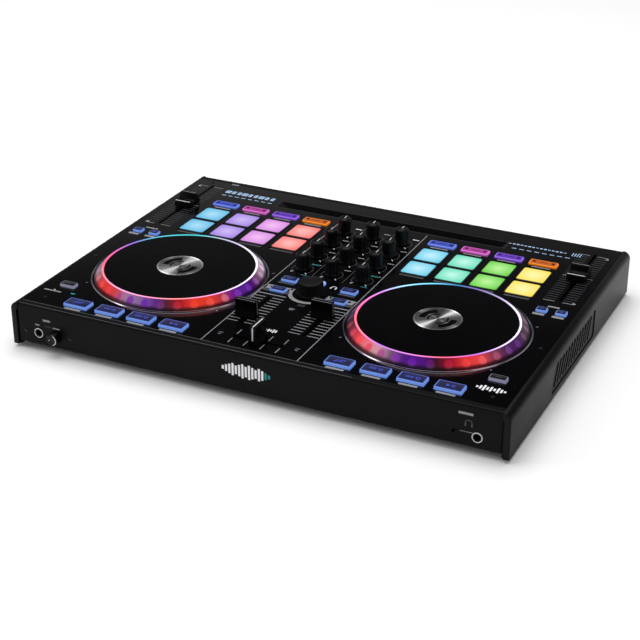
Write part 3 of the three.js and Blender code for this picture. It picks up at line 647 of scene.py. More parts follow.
# ---------------------------------------------------------------- shapes
class Shape:
    """A mesh under construction, made of closed lumps that each have a finish number."""

    def __init__(self) -> None:
        """Starts empty."""
        self.bm = bmesh.new()

    @contextmanager
    def lump(self, finish: int = 0) -> Iterator[bmesh.types.BMesh]:
        """Gives a fresh bmesh for one closed lump and adds it to the shape afterwards.

        Args:
            finish: Index of the lump's material.

        Yields:
            The fresh bmesh.
        """
        fresh = bmesh.new()
        yield fresh
        bmesh.ops.remove_doubles(fresh, verts=fresh.verts, dist=1e-4)
        bmesh.ops.recalc_face_normals(fresh, faces=fresh.faces)
        for face in fresh.faces:
            face.material_index = finish
        self.take_in(fresh)

    def take_in(self, other: bmesh.types.BMesh) -> None:
        """Adds another bmesh to the shape and frees it.

        Args:
            other: What is added.
        """
        mesh = bpy.data.meshes.new("lump")
        other.to_mesh(mesh)
        other.free()
        self.bm.from_mesh(mesh)
        bpy.data.meshes.remove(mesh)

    def slab(self, centre: Point, size: Point, low: float, high: float, corner: float = 0.0,
             edge: float = 0.0, finish: int = 0, turn: float = 0.0, steps: int = 4) -> None:
        """Adds an upright slab with rounded corners and a rounded top edge.

        Args:
            centre: Middle in X and Y.
            size: Width and depth.
            low: Underside.
            high: Top.
            corner: Radius of the upright corners.
            edge: Radius of the top edge.
            finish: Material index.
            turn: Angle about its middle, in radians.
            steps: Segments in a corner.
        """
        with self.lump(finish) as bm:
            stretch = Matrix.Diagonal((size[0], size[1], high - low, 1.0))
            place = Matrix.Translation((centre[0], centre[1], (low + high) / 2)) @ Matrix.Rotation(turn, 4, "Z")
            bmesh.ops.create_cube(bm, size=1.0, matrix=stretch)
            if corner:
                upright = [e for e in bm.edges if abs(e.verts[0].co.z - e.verts[1].co.z) > (high - low) / 2]
                bmesh.ops.bevel(bm, geom=upright, offset=corner, segments=steps, profile=0.5,
                                affect="EDGES", material=-1)
            if edge:
                top = (high - low) / 2 - 1e-4
                rim = [e for e in bm.edges if min(v.co.z for v in e.verts) > top and len(e.link_faces) == 2]
                bmesh.ops.bevel(bm, geom=rim, offset=edge, segments=3, profile=0.5, affect="EDGES", material=-1)
            bmesh.ops.transform(bm, matrix=place, verts=bm.verts)

    def turned(self, centre: Sequence[float], profile: Sequence[Point], steps: int = 48, finish: int = 0,
               axis: Axis = Axis.Z) -> None:
        """Adds a body turned about an axis through centre.

        Args:
            centre: Where the axis crosses the plane it stands on: (x, y) for Z, (x, z) for Y.
            profile: Radius and height of each point; it starts and ends on the axis, or it closes.
            steps: Segments round the axis.
            finish: Material index.
            axis: Z for upright bodies, Y for ones that run front to back.
        """
        with self.lump(finish) as bm:
            points = [bm.verts.new((r, 0.0, h)) for r, h in profile]
            edges = [bm.edges.new(pair) for pair in zip(points, points[1:])]
            if profile[0][0] > 0:
                edges.append(bm.edges.new((points[-1], points[0])))
            bmesh.ops.spin(bm, geom=points + edges, cent=(0, 0, 0), axis=(0, 0, 1), dvec=(0, 0, 0),
                           angle=FULL_TURN, steps=steps, use_merge=True, use_duplicate=False)
            place = Matrix.Translation((centre[0], centre[1], 0.0))
            if axis is Axis.Y:
                place = Matrix.Translation((centre[0], 0.0, centre[1])) @ Matrix.Rotation(-math.pi / 2, 4, "X")
            bmesh.ops.transform(bm, matrix=place, verts=bm.verts)

    def arc(self, centre: Point, radii: Point, degrees: Point, low: float, high: float, finish: int = 0,
            steps: int = 24) -> None:
        """Adds a flat curved bar about an upright axis.

        Args:
            centre: Middle of the arc.
            radii: Inner and outer radius.
            degrees: Where the bar starts and ends, anticlockwise from +X.
            low: Underside.
            high: Top.
            finish: Material index.
            steps: Segments along the bar.
        """
        with self.lump(finish) as bm:
            corners = ((radii[0], low), (radii[1], low), (radii[1], high), (radii[0], high))
            face = bm.faces.new([bm.verts.new((r, 0.0, z)) for r, z in corners])
            bmesh.ops.rotate(bm, verts=bm.verts, matrix=Matrix.Rotation(math.radians(degrees[0]), 3, "Z"))
            bmesh.ops.spin(bm, geom=[*face.verts, *face.edges, face], cent=(0, 0, 0), axis=(0, 0, 1),
                           dvec=(0, 0, 0), angle=math.radians(degrees[1] - degrees[0]), steps=steps,
                           use_merge=False, use_duplicate=False)
            bmesh.ops.translate(bm, verts=bm.verts, vec=(centre[0], centre[1], 0.0))

    def extruded(self, outline: Sequence[Sequence[float]], start: float, end: float, axis: Axis,
                 edge: float = 0.0, finish: int = 0) -> None:
        """Adds an outline pushed along an axis.

        Args:
            outline: Points (a, b) or (a, b, radius): (y, z) for axis X, (x, z) for axis Y.
            start: Where the body starts along the axis.
            end: Where it ends.
            axis: X or Y.
            edge: Bevel of the two ends' outlines.
            finish: Material index.
        """
        with self.lump(finish) as bm:
            corners: dict[float, list[bmesh.types.BMVert]] = {}
            verts = []
            for a, b, *radius in outline:
                spot = (start, a, b) if axis is Axis.X else (a, start, b)
                verts.append(bm.verts.new(spot))
                if radius:
                    corners.setdefault(radius[0], []).append(verts[-1])
            bm.faces.new(verts)
            for radius, chosen in corners.items():
                bmesh.ops.bevel(bm, geom=chosen, offset=radius, offset_type="OFFSET", segments=6, profile=0.5,
                                affect="VERTICES", material=-1)
            grown = bmesh.ops.extrude_face_region(bm, geom=list(bm.faces))
            moved = [v for v in grown["geom"] if isinstance(v, bmesh.types.BMVert)]
            push = Vector((end - start, 0, 0)) if axis is Axis.X else Vector((0, end - start, 0))
            bmesh.ops.translate(bm, verts=moved, vec=push)
            if edge:
                along = axis.value
                ends = [e for e in bm.edges if abs(e.verts[0].co[along] - e.verts[1].co[along]) < 1e-6]
                bmesh.ops.bevel(bm, geom=ends, offset=edge, segments=2, profile=0.5, affect="EDGES", material=-1)

    def map_face(self, centre: Point, size: Point) -> None:
        """Maps the shape from above, 0 to 1 over its width and depth, for the lamp under it.

        Args:
            centre: Middle of the lamp.
            size: Width and depth that it lights.
        """
        layer = self.bm.loops.layers.uv.new("Face")
        for face in self.bm.faces:
            for loop in face.loops:
                x = (loop.vert.co.x - centre[0]) / size[0] + 0.5
                y = (loop.vert.co.y - centre[1]) / size[1] + 0.5
                loop[layer].uv = (x, y)

    def map_turn(self, centre: Point) -> None:
        """Maps the shape by angle and radius, so that brushing runs round the centre.

        Args:
            centre: Middle of the turned piece.
        """
        layer = self.bm.loops.layers.uv.new("Face")
        for face in self.bm.faces:
            spot = face.calc_center_median()
            middle_angle = math.atan2(spot.y - centre[1], spot.x - centre[0])
            for loop in face.loops:
                dx, dy = loop.vert.co.x - centre[0], loop.vert.co.y - centre[1]
                angle = math.atan2(dy, dx) if dx * dx + dy * dy > 1e-6 else middle_angle
                while angle - middle_angle > math.pi:
                    angle -= FULL_TURN
                while middle_angle - angle > math.pi:
                    angle += FULL_TURN
                loop[layer].uv = (angle / FULL_TURN, math.hypot(dx, dy) / 100)

    def carve(self, cutters: "Shape") -> None:
        """Cuts other lumps out of this shape.

        Args:
            cutters: The lumps to take away.
        """
        bodies = []
        for shape in (self, cutters):
            mesh = bpy.data.meshes.new("carve")
            shape.bm.to_mesh(mesh)
            body = bpy.data.objects.new("carve", mesh)
            bpy.context.collection.objects.link(body)
            bodies.append(body)
        modifier = bodies[0].modifiers.new("cut", "BOOLEAN")
        modifier.object = bodies[1]
        modifier.operation = "DIFFERENCE"
        modifier.solver = "EXACT"
        cut = bpy.data.meshes.new_from_object(bodies[0].evaluated_get(bpy.context.evaluated_depsgraph_get()))
        self.bm.clear()
        self.bm.from_mesh(cut)
        bpy.data.meshes.remove(cut)
        for body in bodies:
            mesh = body.data
            bpy.data.objects.remove(body)
            bpy.data.meshes.remove(mesh)

    def finish(self, name: str, body: str, slot: str, materials: Sequence[bpy.types.Material],
               replaces: Iterable[str] = (), smooth: float = 32.0) -> None:
        """Turns the shape into a finished piece that rides on its body.

        Args:
            name: The piece's name.
            body: Body that it moves with.
            slot: Not used.
            materials: Its materials, in the order of the finish numbers.
            replaces: Frame nodes that it stands for.
            smooth: Angle in degrees past which an edge is sharp.
        """
        bmesh.ops.transform(self.bm, matrix=Matrix.Scale(MM, 4), verts=self.bm.verts)
        mesh = bpy.data.meshes.new(name)
        self.bm.to_mesh(mesh)
        self.bm.free()
        mesh.shade_smooth()
        mesh.set_sharp_from_angle(angle=math.radians(smooth))
        for material in materials:
            mesh.materials.append(material)
        piece = bpy.data.objects.new(name, mesh)
        bpy.context.collection.objects.link(piece)
        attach(piece, body)
        if replaces:
            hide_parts(*replaces)
        log.info("%s rides on %s", name, body)


# ---------------------------------------------------------------- housing
@dataclass
class Housing:
    """Folded steel tray, end caps, feet, bezels and screws: everything that stands still."""

    layout: Layout
    finishes: Finishes
    sheet: float = 1.2
    lip: float = 8.0
    fold: float = 2.0
    cap_round: float = 7.5
    rebate: float = 2.2
    recess_depth: float = 1.0
    recess_size: Point = (138.0, 30.6)
    recess_y: float = -4.0
    recess_rise: float = 20.6
    rib_size: tuple[float, float, float] = (0.9, 3.4, 24.0)
    rib_lean: float = -24.0
    rib_pitch: float = 9.0

    def tray(self) -> None:
        """Builds the folded tray with the openings for sockets, knob and switch."""
        at = self.layout
        inner = self.fold - self.sheet
        front, back, low, top, sheet = at.front, at.back, at.tray_low, at.panel_top, self.sheet
        outline = (
            (front + self.lip, top), (front, top, self.fold), (front, low, self.fold), (back, low, self.fold),
            (back, top, self.fold), (back - self.lip, top), (back - self.lip, top - sheet),
            (back - sheet, top - sheet, inner), (back - sheet, low + sheet, inner),
            (front + sheet, low + sheet, inner), (front + sheet, top - sheet, inner), (front + self.lip, top - sheet))
        shape = Shape()
        shape.extruded(outline, -at.tray_half, at.tray_half, Axis.X)
        cutters = Shape()
        for node in ("mic_jack", "phones_jack", "mini_phones_jack", "mic_level_knob"):
            low_corner, high_corner = box_mm(node)
            spot = middle(node)
            radius = (high_corner.x - low_corner.x) / 2 + 0.3 if "jack" in node else 3.5
            profile = ((0, front - 3), (radius, front - 3), (radius, front + 3), (0, front + 3))
            cutters.turned((spot.x, spot.z), profile, 32, axis=Axis.Y)
        for node in ("output_sockets", "usb_socket", "power_switch"):
            low_corner, high_corner = box_mm(node)
            spot = middle(node)
            size = (high_corner.x - low_corner.x + 0.6, 8.0)
            cutters.slab((spot.x, back), size, low_corner.z - 0.3, high_corner.z + 0.3)
        shape.carve(cutters)
        shape.finish("bottom_tray_skin", HOUSING, "tray_steel", self.finishes.pick("tray_steel"), ["bottom_tray"])

    def tray_ends(self) -> None:
        """Builds the folded side walls inside the end caps."""
        at = self.layout
        shape = Shape()
        for side in Side:
            x = side.value * (at.tray_half - self.sheet / 2)
            shape.slab((x, 0), (self.sheet, 2 * at.back - 5), at.tray_low + 2, at.panel_top - 3)
        shape.finish("tray_side_walls", HOUSING, "tray_steel", self.finishes.pick("tray_steel"))

    def end_cap(self, side: Side) -> None:
        """Builds one end cap with its rebates and ribbed side recess."""
        at = self.layout
        node = f"{side.label}_end_cap"
        low, high = box_mm(node)
        inner = side.value * (at.tray_half + 0.3)
        outer = side.value * at.outer_half
        outline = ((inner, low.z), (outer, low.z), (outer, high.z, self.cap_round), (inner, high.z))
        shape = Shape()
        shape.extruded(outline, low.y, high.y, Axis.Y, edge=0.5)
        cutters = Shape()
        for y in (low.y, high.y):
            x = inner + side.value * (self.rebate / 2 - 0.5)
            cutters.slab((x, y), (self.rebate + 1, 5), -1, high.z - self.cap_round)
        shape.carve(cutters)
        pocket = Shape()
        reach = self.recess_depth
        with pocket.lump() as bm:
            size = Matrix.Diagonal((2 * reach, *self.recess_size, 1))
            bmesh.ops.create_cube(bm, size=1.0, matrix=size)
            along = [e for e in bm.edges if abs(e.verts[0].co.x - e.verts[1].co.x) > reach]
            bmesh.ops.bevel(bm, geom=along, offset=4, segments=5, profile=0.5, affect="EDGES", material=-1)
            bmesh.ops.translate(bm, verts=bm.verts, vec=(outer, self.recess_y, low.z + self.recess_rise))
        shape.carve(pocket)
        shape.finish(f"{node}_moulding", HOUSING, "end_cap_black", self.finishes.pick("end_cap_black"), [node])
        self.side_ribs(side, outer, low.z + self.recess_rise)

    def side_ribs(self, side: Side, outer: float, height: float) -> None:
        """Builds the slanted ribs in a side recess.

        Args:
            side: Which end cap.
            outer: X of the cap's outer face.
            height: Middle of the recess.
        """
        shape = Shape()
        for i in range(-6, 7):
            with shape.lump() as bm:
                size = Matrix.Diagonal((*self.rib_size, 1))
                bmesh.ops.create_cube(bm, size=1.0, matrix=size)
                bmesh.ops.bevel(bm, geom=list(bm.edges), offset=0.3, segments=2, profile=0.5,
                                affect="EDGES", material=-1)
                bmesh.ops.rotate(bm, verts=bm.verts, matrix=Matrix.Rotation(math.radians(self.rib_lean), 3, "X"))
                bmesh.ops.translate(bm, verts=bm.verts,
                                    vec=(outer - side.value * 0.55, self.recess_y + i * self.rib_pitch, height))
        shape.finish(f"{side.label}_side_ribs", HOUSING, "end_cap_black", self.finishes.pick("end_cap_black"))

    def feet(self) -> None:
        """Builds the four rubber feet, each a dished disc."""
        for end in ("front", "rear"):
            for side in Side:
                node = f"{end}_{side.label}_foot"
                low, high = box_mm(node)
                radius = (high.x - low.x) / 2
                spot = middle(node)
                profile = ((0, 0.5), (radius - 4, 0.5), (radius - 3, 0), (radius - 1, 0), (radius - 0.3, 0.3),
                           (radius, 1), (radius, high.z), (0, high.z))
                shape = Shape()
                shape.turned((spot.x, spot.y), profile, 40)
                shape.finish(f"{node}_rubber", HOUSING, "foot_rubber", self.finishes.pick("foot_rubber"), [node])

    def jog_bezel(self, side: Side) -> None:
        """Builds the bright ring round a jog wheel's well."""
        at = self.layout
        radius = at.jog_radius
        top = at.panel_top
        shape = Shape()
        shape.turned(at.deck(side), (
            (radius + 1.2, top - 1), (radius + 1.2, top + 0.5), (radius + 1.7, top + 0.9), (radius + 2.5, top + 0.9),
            (radius + 3.1, top + 0.02), (radius + 2, top + 0.02), (radius + 2, top - 1)), 160)
        shape.finish(f"{side.label}_jog_bezel", HOUSING, "panel_gloss", self.finishes.pick("bezel_metal"))

    def screws(self) -> None:
        """Builds the small cross-head screws in the panel and the front wall; each panel screw's cross is two black
        bars on the head, a painted shade for the recess.
        """
        at = self.layout
        shape = Shape()
        for x, y in ((243, 178), (-238, 178), (247, -62), (-247, -62), (238, -169), (-238, -169)):
            top = at.panel_top + 0.5
            shape.turned((x, y), ((0, top - 0.5), (2.1, top - 0.5), (2.0, top - 0.1), (1.4, top), (0, top)), 24)
            # Painted shade: the cross recess is two black bars standing on the head.
            for turn in (0.4, 0.4 + math.pi / 2):
                shape.slab((x, y), (2.2, 0.5), top - 0.2, top + 0.05, turn=turn, finish=1)
        for x, z in ((-248, at.front_line + 0.1), (-195.5, at.front_line + 1.1)):
            y = at.front
            profile = ((0, y - 0.7), (1.6, y - 0.7), (2.3, y - 0.2), (2.4, y + 0.2), (0, y + 0.2))
            shape.turned((x, z), profile, 24, axis=Axis.Y)
        materials = self.finishes.pick("screw_black", "socket_plastic")
        shape.finish("panel_screws", HOUSING, "panel_gloss", materials)

    def carried_over(self) -> None:
        """Gives the frame nodes that keep their own mesh their finish."""
        finish_of = {"top_plate": "panel_gloss", "tablet_groove": "groove_black", "main_board": "circuit_board",
                     "left_jog_spindle": "spindle_steel", "right_jog_spindle": "spindle_steel"}
        for node, name in finish_of.items():
            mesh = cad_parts[node].data
            mesh.materials.clear()
            mesh.materials.append(self.finishes.made[name])

    def build(self) -> None:
        """Builds the housing."""
        self.tray()
        self.tray_ends()
        self.feet()
        for side in Side:
            self.end_cap(side)
            self.jog_bezel(side)
        self.screws()
        self.carried_over()


# ---------------------------------------------------------------- jog wheels
JOG_WALLS = {
    Side.LEFT: ((0, "4C0C6C"), (10, "6C4468"), (24, "AC8EA4"), (40, "B8A8BC"), (70, "6C6490"), (115, "28606C"),
                (150, "30406C"), (176, "8A708E"), (196, "6C4A68"), (210, "8C707E"), (222, "98485A"), (229, "DA3834"),
                (242, "E03430"), (251, "C8424C"), (260, "A0709C"), (272, "84649C"), (282, "602A88"),
                (291, "501A2C"), (300, "9C1024"), (308, "E03424"), (322, "E03820"), (331, "A83048"),
                (339, "6C1A88"), (350, "54208E")),
    Side.RIGHT: ((8, "46303F"), (30, "644C5C"), (60, "8A8090"), (90, "605490"), (120, "405C70"), (150, "4C5A70"),
                 (176, "5C4458"), (192, "34243C"), (210, "40242C"), (219, "A0304A"), (229, "E84854"), (240, "E87C88"),
                 (250, "D098A8"), (260, "785078"), (269, "50187C"), (281, "500C7C"), (291, "3E0E20"),
                 (300, "94102C"), (309, "E03430"), (319, "E84448"), (328, "8C3A54"), (340, "4C2850"),
                 (352, "4A1C60")),
}
# Painted highlight: colours the dimples glow in, mostly lighter than the walls.
JOG_DIMPLE_HIGHLIGHTS = {
    Side.LEFT: ((0, "6A2490"), (12, "A070A0"), (26, "D8C0D4"), (42, "E0D4E4"), (70, "9088B8"), (115, "3C8890"),
                (150, "486094"), (176, "B090B4"), (200, "907090"), (212, "B08490"), (226, "F04A40"), (240, "F03C38"),
                (250, "C84460"), (258, "8A3C90"), (270, "7030A8"), (281, "6A28A8"), (290, "6C3040"), (300, "C02030"),
                (310, "F84028"), (324, "F05048"), (332, "D06C80"), (341, "7C30A8"), (352, "6830B0")),
    Side.RIGHT: ((8, "6C4C64"), (34, "8A7080"), (60, "B0A8B4"), (90, "8078B0"), (120, "58809C"), (150, "687C94"),
                 (178, "7C5C74"), (200, "4C3440"), (216, "C04058"), (228, "FF5058"), (238, "F84858"), (249, "C06080"),
                 (259, "90409C"), (270, "6A20A4"), (281, "6414A0"), (290, "5A1C34"), (300, "B81C38"), (311, "F84440"),
                 (322, "F05C60"), (331, "A85068"), (343, "6C3C80"), (354, "5C2C7C")),
}
JOG_RING = {
    Side.LEFT: ((10, "F4F0FF"), (45, "F0ECFA"), (70, "B8ACC8"), (88, "98A8B8"), (104, "40B8BC"), (128, "48B8C0"),
                (146, "5890B8"), (160, "8060C8"), (178, "D058A8"), (200, "FF5870"), (225, "FF8090"),
                (252, "E8A0D0"), (275, "F090B8"), (300, "FF8A80"), (325, "D890D8"), (345, "E8DCF8")),
    Side.RIGHT: ((10, "F0ECFF"), (40, "E0D8F0"), (62, "A090B8"), (82, "6C60A0"), (98, "3070A0"), (116, "68C8F0"),
                 (138, "A0D8F8"), (156, "C080D8"), (176, "F068B0"), (198, "FF6880"), (224, "F87890"),
                 (250, "B070D8"), (272, "D080D0"), (296, "F06078"), (318, "A868D0"), (342, "D8C8F8")),
}

# Painted highlight: share of white at each angle of half a turn of the spun discs.
PAINTED_DISC_HIGHLIGHTS = {
    Side.LEFT: ((0, 0.18), (30, 0.28), (54, 0.38), (67, 0.65), (84, 0.6), (98, 0.37), (112, 0.22), (130, 0.2),
                (145, 0.3), (162, 0.23), (180, 0.18)),
    Side.RIGHT: ((0, 0.15), (36, 0.2), (50, 0.43), (66, 0.75), (80, 0.33), (95, 0.15), (125, 0.12), (146, 0.27),
                 (156, 0.35), (170, 0.14), (180, 0.15)),
}


@dataclass
class JogWheel:
    """One jog wheel: dimpled clear rim, light ring, black platter and spun metal disc."""

    side: Side
    layout: Layout
    finishes: Finishes
    effects: Effects
    ring_outer: float = 80.5
    ring_width: float = 1.8
    shoulder: float = 1.0
    disc_radius: float = 24.0
    dimple_count: int = 32
    dimple_radius: float = 4.4
    dimple_depth: float = 0.5

    @property
    def body(self) -> str:
        """Body that the wheel's pieces ride on."""
        return f"{self.side.label}_jog"

    def rim(self) -> None:
        """Builds the clear rim and presses the finger dimples into its slope."""
        at = self.layout
        node = f"{self.side.label}_jog_rim"
        outer, top, foot = at.jog_radius, at.jog_top, at.panel_top + self.shoulder
        crest = self.ring_outer + 0.3
        rows = 16
        slope = [(outer + (crest - outer) * i / rows, foot + (top - 0.6 - foot) * i / rows) for i in range(rows + 1)]
        inner = self.ring_outer - self.ring_width - 6
        low = box_mm(node)[0].z
        profile = [(outer, low + 0.3), *slope, (self.ring_outer - 0.2, top - 0.3), (self.ring_outer - 0.2, top - 2),
                   (inner, top - 4), (inner, top - 6.6), (outer - 4, low + 0.3)]
        shape = Shape()
        shape.turned((0, 0), profile, self.dimple_count * 12)
        reach = math.hypot(outer - crest, top - 0.6 - foot)
        normal = Vector(((top - 0.6 - foot) / reach, (outer - crest) / reach))
        middle_radius, middle_height = (outer + crest) / 2, (top - 0.6 + foot) / 2
        for vert in shape.bm.verts:
            radius = math.hypot(vert.co.x, vert.co.y)
            if vert.co.z < foot - 0.1 or radius < crest - 0.1:
                continue
            angle = math.atan2(vert.co.y, vert.co.x) % FULL_TURN
            step = (angle * self.dimple_count / FULL_TURN) % 1 - 0.5
            across = step * FULL_TURN * middle_radius / self.dimple_count
            along = math.hypot(radius - middle_radius, vert.co.z - middle_height)
            share = 1 - (across * across + along * along) / self.dimple_radius ** 2
            if share > 0:
                press = self.dimple_depth * share ** 0.5
                vert.co.x -= press * normal.x * math.cos(angle)
                vert.co.y -= press * normal.x * math.sin(angle)
                vert.co.z -= press * normal.y
        bmesh.ops.translate(shape.bm, verts=shape.bm.verts, vec=(*at.deck(self.side), 0.0))
        # The dimples' lighter colours and the darker outer edge are painted highlight and painted shade.
        glow = JogGlow(f"{self.side.label}_rim_glow", at.deck(self.side), JOG_WALLS[self.side],
                       JOG_DIMPLE_HIGHLIGHTS[self.side], 0.95, self.dimple_count, (middle_radius, self.dimple_radius),
                       (outer - 3.4, outer - 0.6))
        shape.finish(f"{self.body}_rim_clear", self.body, "jog_rim_clear", [glow.material(self.effects)], [node], 40)

    def light_ring(self) -> None:
        """Builds the thin bright ring round the platter."""
        at = self.layout
        outer, inner, top = self.ring_outer, self.ring_outer - self.ring_width, at.jog_top
        shape = Shape()
        shape.turned(at.deck(self.side), ((inner, top - 1.8), (outer, top - 1.8), (outer, top - 0.35),
                                          (outer - 0.4, top), (inner + 0.3, top), (inner, top - 0.2)), 180)
        glow = JogGlow(f"{self.side.label}_ring_glow", at.deck(self.side), JOG_RING[self.side],
                       JOG_RING[self.side], 1.7)
        shape.finish(f"{self.body}_light_ring", self.body, "jog_rim_clear", [glow.material(self.effects)])

    def platter(self) -> None:
        """Builds the black touch platter with its hub and a shallow seat for the spun disc in its middle."""
        at = self.layout
        node = f"{self.side.label}_jog_platter"
        top = at.jog_top - 0.3
        outer = self.ring_outer - self.ring_width - 0.25
        bore, hub = 6.3, 12.3
        low = box_mm(node)[0].z
        disc = self.disc_radius
        shape = Shape()
        shape.turned(at.deck(self.side), (
            (0, top - 4), (bore, top - 4), (bore, low), (hub, low), (hub, top - 3), (outer, top - 3),
            (outer, top - 0.5), (outer - 0.5, top), (disc + 0.8, top), (disc + 0.5, top - 0.35),
            (disc - 1, top - 0.35), (0, top - 0.35)), 160)
        shape.finish(f"{self.body}_platter_top", self.body, "jog_platter_black",
                     self.finishes.pick("platter_black"), [node], 20)

    def label_disc(self) -> None:
        """Builds the spun metal disc with a raised rim, a dark inlay and a small boss."""
        at = self.layout
        top, disc = at.jog_top, self.disc_radius
        centre = at.deck(self.side)
        shape = Shape()
        shape.turned(centre, ((0, top - 0.6), (disc - 1.6, top - 0.6), (disc - 1.6, top - 0.25),
                              (0, top - 0.25)), 160)
        shape.turned(centre, ((disc - 1.6, top - 0.6), (disc, top - 0.6), (disc, top - 0.2), (disc - 0.3, top),
                              (disc - 1.3, top), (disc - 1.6, top - 0.25)), 160, 2)
        shape.turned(centre, ((0, top - 0.3), (2.6, top - 0.3), (2.4, top - 0.02), (0, top - 0.02)), 48)
        inlay = top - 0.12
        for start in (98, 278):
            shape.arc(centre, (9.0, 10.6), (start, start + 118), top - 0.3, inlay, 1, 40)
            shape.arc(centre, (12.6, 18.6), (start + 14, start + 96), top - 0.3, inlay, 1, 40)
        shape.map_turn(centre)
        metal = SpunMetal(f"{self.side.label}_spun_disc", centre, PAINTED_DISC_HIGHLIGHTS[self.side])
        # The raised rim gets the same painted highlight, brighter.
        edge = SpunMetal(f"{self.side.label}_disc_edge", centre, PAINTED_DISC_HIGHLIGHTS[self.side], highlight_gain=4.5)
        looks = [metal.material(self.effects), *self.finishes.pick("platter_black"), edge.material(self.effects)]
        shape.finish(f"{self.body}_label_disc", self.body, "jog_platter_black", looks)

    def build(self) -> None:
        """Builds the wheel."""
        self.rim()
        self.light_ring()
        self.platter()
        self.label_disc()


# ---------------------------------------------------------------- keys and pads
class Symbol(Enum):
    """Plain marks that a key can carry."""

    ARROWS = "arrows"
    DOT_BAR = "dot_bar"
    RING = "ring"
    PLAY = "play"
    BEND = "bend"
    BAR = "bar"


@dataclass
class Keys:
    """All keys and pads of one deck, plus its half of the mixer's keys."""

    side: Side
    layout: Layout
    finishes: Finishes
    effects: Effects
    pad_size: Point = (32.2, 32.8)
    pad_rim: float = 1.5
    mode_size: Point = (30.6, 12.3)
    bend_size: Point = (11.0, 9.6)
    cue_size: Point = (17.0, 10.5)
    skirt: float = 5.0
    pad_colours: tuple[tuple[str, str], ...] = ()
    mode_names: tuple[str, ...] = ("blue", "pink", "purple", "orange")

    def key(self, name: str, body: str, slot: str, centre: Point, size: Point, top: float,
            looks: Sequence[str], symbol: Symbol, replaces: Iterable[str] = (), inset: float = 2.0) -> None:
        """Builds a lit key: clear body, dark cap plate and a small mark.

        Args:
            name: Piece name.
            body: Body it rides on.
            slot: Material slot.
            centre: Middle of the key.
            size: Width and depth.
            top: Height of its top face.
            looks: Finishes of body, cap plate and mark.
            symbol: The mark.
            replaces: Frame nodes that it stands for.
            inset: Edge of the body left clear round the cap plate.
        """
        shape = Shape()
        low = self.layout.panel_top - self.skirt
        shape.slab(centre, size, low, top - 0.15, corner=1.8, edge=0.8)
        plate = (size[0] - 2 * inset, size[1] - 2 * inset)
        shape.slab(centre, plate, top - 0.6, top, corner=0.9, edge=0.15, finish=1)
        self.mark(shape, symbol, centre, plate, top)
        shape.map_face(centre, size)
        shape.finish(name, body, slot, self.finishes.pick(*looks), replaces)

    def mark(self, shape: Shape, symbol: Symbol, centre: Point, plate: Point, top: float) -> None:
        """Adds a key's mark to its shape.

        Args:
            shape: The key.
            symbol: Which mark.
            centre: Middle of the key.
            plate: Width and depth of its cap plate.
            top: Height of the cap plate.
        """
        x, y = centre
        low, high = top - 0.1, top + 0.06

        def bar(dx: float, dy: float, width: float, depth: float, turn: float = 0.0) -> None:
            """Adds one stroke of the mark."""
            shape.slab((x + dx, y + dy), (width, depth), low, high, finish=2, turn=turn)

        frame_x, frame_y = plate[0] / 2 - 0.6, plate[1] / 2 - 0.6
        if symbol in (Symbol.ARROWS, Symbol.DOT_BAR, Symbol.RING, Symbol.PLAY):
            for sign in (-1, 1):
                bar(0, sign * frame_y, 2 * frame_x, 0.3)
                bar(sign * frame_x, 0, 0.3, 2 * frame_y)
        if symbol is Symbol.ARROWS:
            for sign in (-1, 1):
                bar(sign * 0.6, sign * 1.1, 9, 0.7)
                bar(sign * 4.4, sign * 2.0, 2.4, 0.7, -0.8)
        elif symbol is Symbol.DOT_BAR:
            bar(-3, 0, 7, 1.0)
            bar(-3, 1.9, 7, 0.5)
            shape.arc((x + 4.6, y + 0.4), (1.4, 2.1), (0, 360), low, high, 2)
        elif symbol is Symbol.RING:
            bar(-3, 0.9, 8, 0.8)
            bar(-3, -0.9, 8, 0.8)
            shape.arc((x + 5.4, y), (1.5, 2.3), (0, 360), low, high, 2)
        elif symbol is Symbol.PLAY:
            with shape.lump(2) as bm:
                circle = bmesh.ops.create_circle(bm, cap_ends=True, radius=2.4, segments=3)
                bmesh.ops.extrude_face_region(bm, geom=list(bm.faces))
                bmesh.ops.translate(bm, verts=circle["verts"], vec=(0, 0, high - low))
                bmesh.ops.rotate(bm, verts=bm.verts, matrix=Matrix.Rotation(-math.pi / 2, 3, "Z"))
                bmesh.ops.translate(bm, verts=bm.verts, vec=(x - 2.4, y, low))
            for dx in (2.0, 4.0):
                bar(dx, 0, 0.9, 3.8)
        elif symbol is Symbol.BEND:
            bar(0, 0, 3.6, 0.7)
            if x > self.layout.deck_x * 1.6 or -self.layout.deck_x * 1.6 < x < 0:
                bar(0, 0, 0.7, 3.6)
        elif symbol is Symbol.BAR:
            bar(0, 0, plate[0] * 0.4, 0.8)

    def pads(self) -> None:
        """Builds the deck's eight pads and the carrier sheet below them."""
        node = f"{self.side.label}_pads"
        top = box_mm(node)[1].z
        pad_slot = f"{self.side.label}_pad_silicone"
        places = key_places(node, self.pad_size, 4, 2)
        materials = [LitFace(f"{self.side.label}_pad_{i + 1}", core, edge, 0.95, 0.66, 0.12).material(self.effects)
                     for i, (core, edge) in enumerate(self.pad_colours)]
        for i, centre in enumerate(places):
            column, row = divmod(i, 2)
            shape = Shape()
            face = (self.pad_size[0] - 2 * self.pad_rim, self.pad_size[1] - 2 * self.pad_rim)
            shape.slab(centre, self.pad_size, self.layout.panel_top - 3.8, top - 0.5, corner=3.4, edge=0.6)
            shape.slab(centre, face, top - 1.0, top, corner=2.6, edge=0.5, steps=6, finish=1)
            shape.map_face(centre, self.pad_size)
            shape.finish(f"{node}_{column + 1}_{'front' if row == 0 else 'rear'}", node, pad_slot,
                         [*self.finishes.pick("pad_rim"), materials[column]], [node] if i == 0 else ())
        self.carrier(node, pad_slot, "socket_plastic")

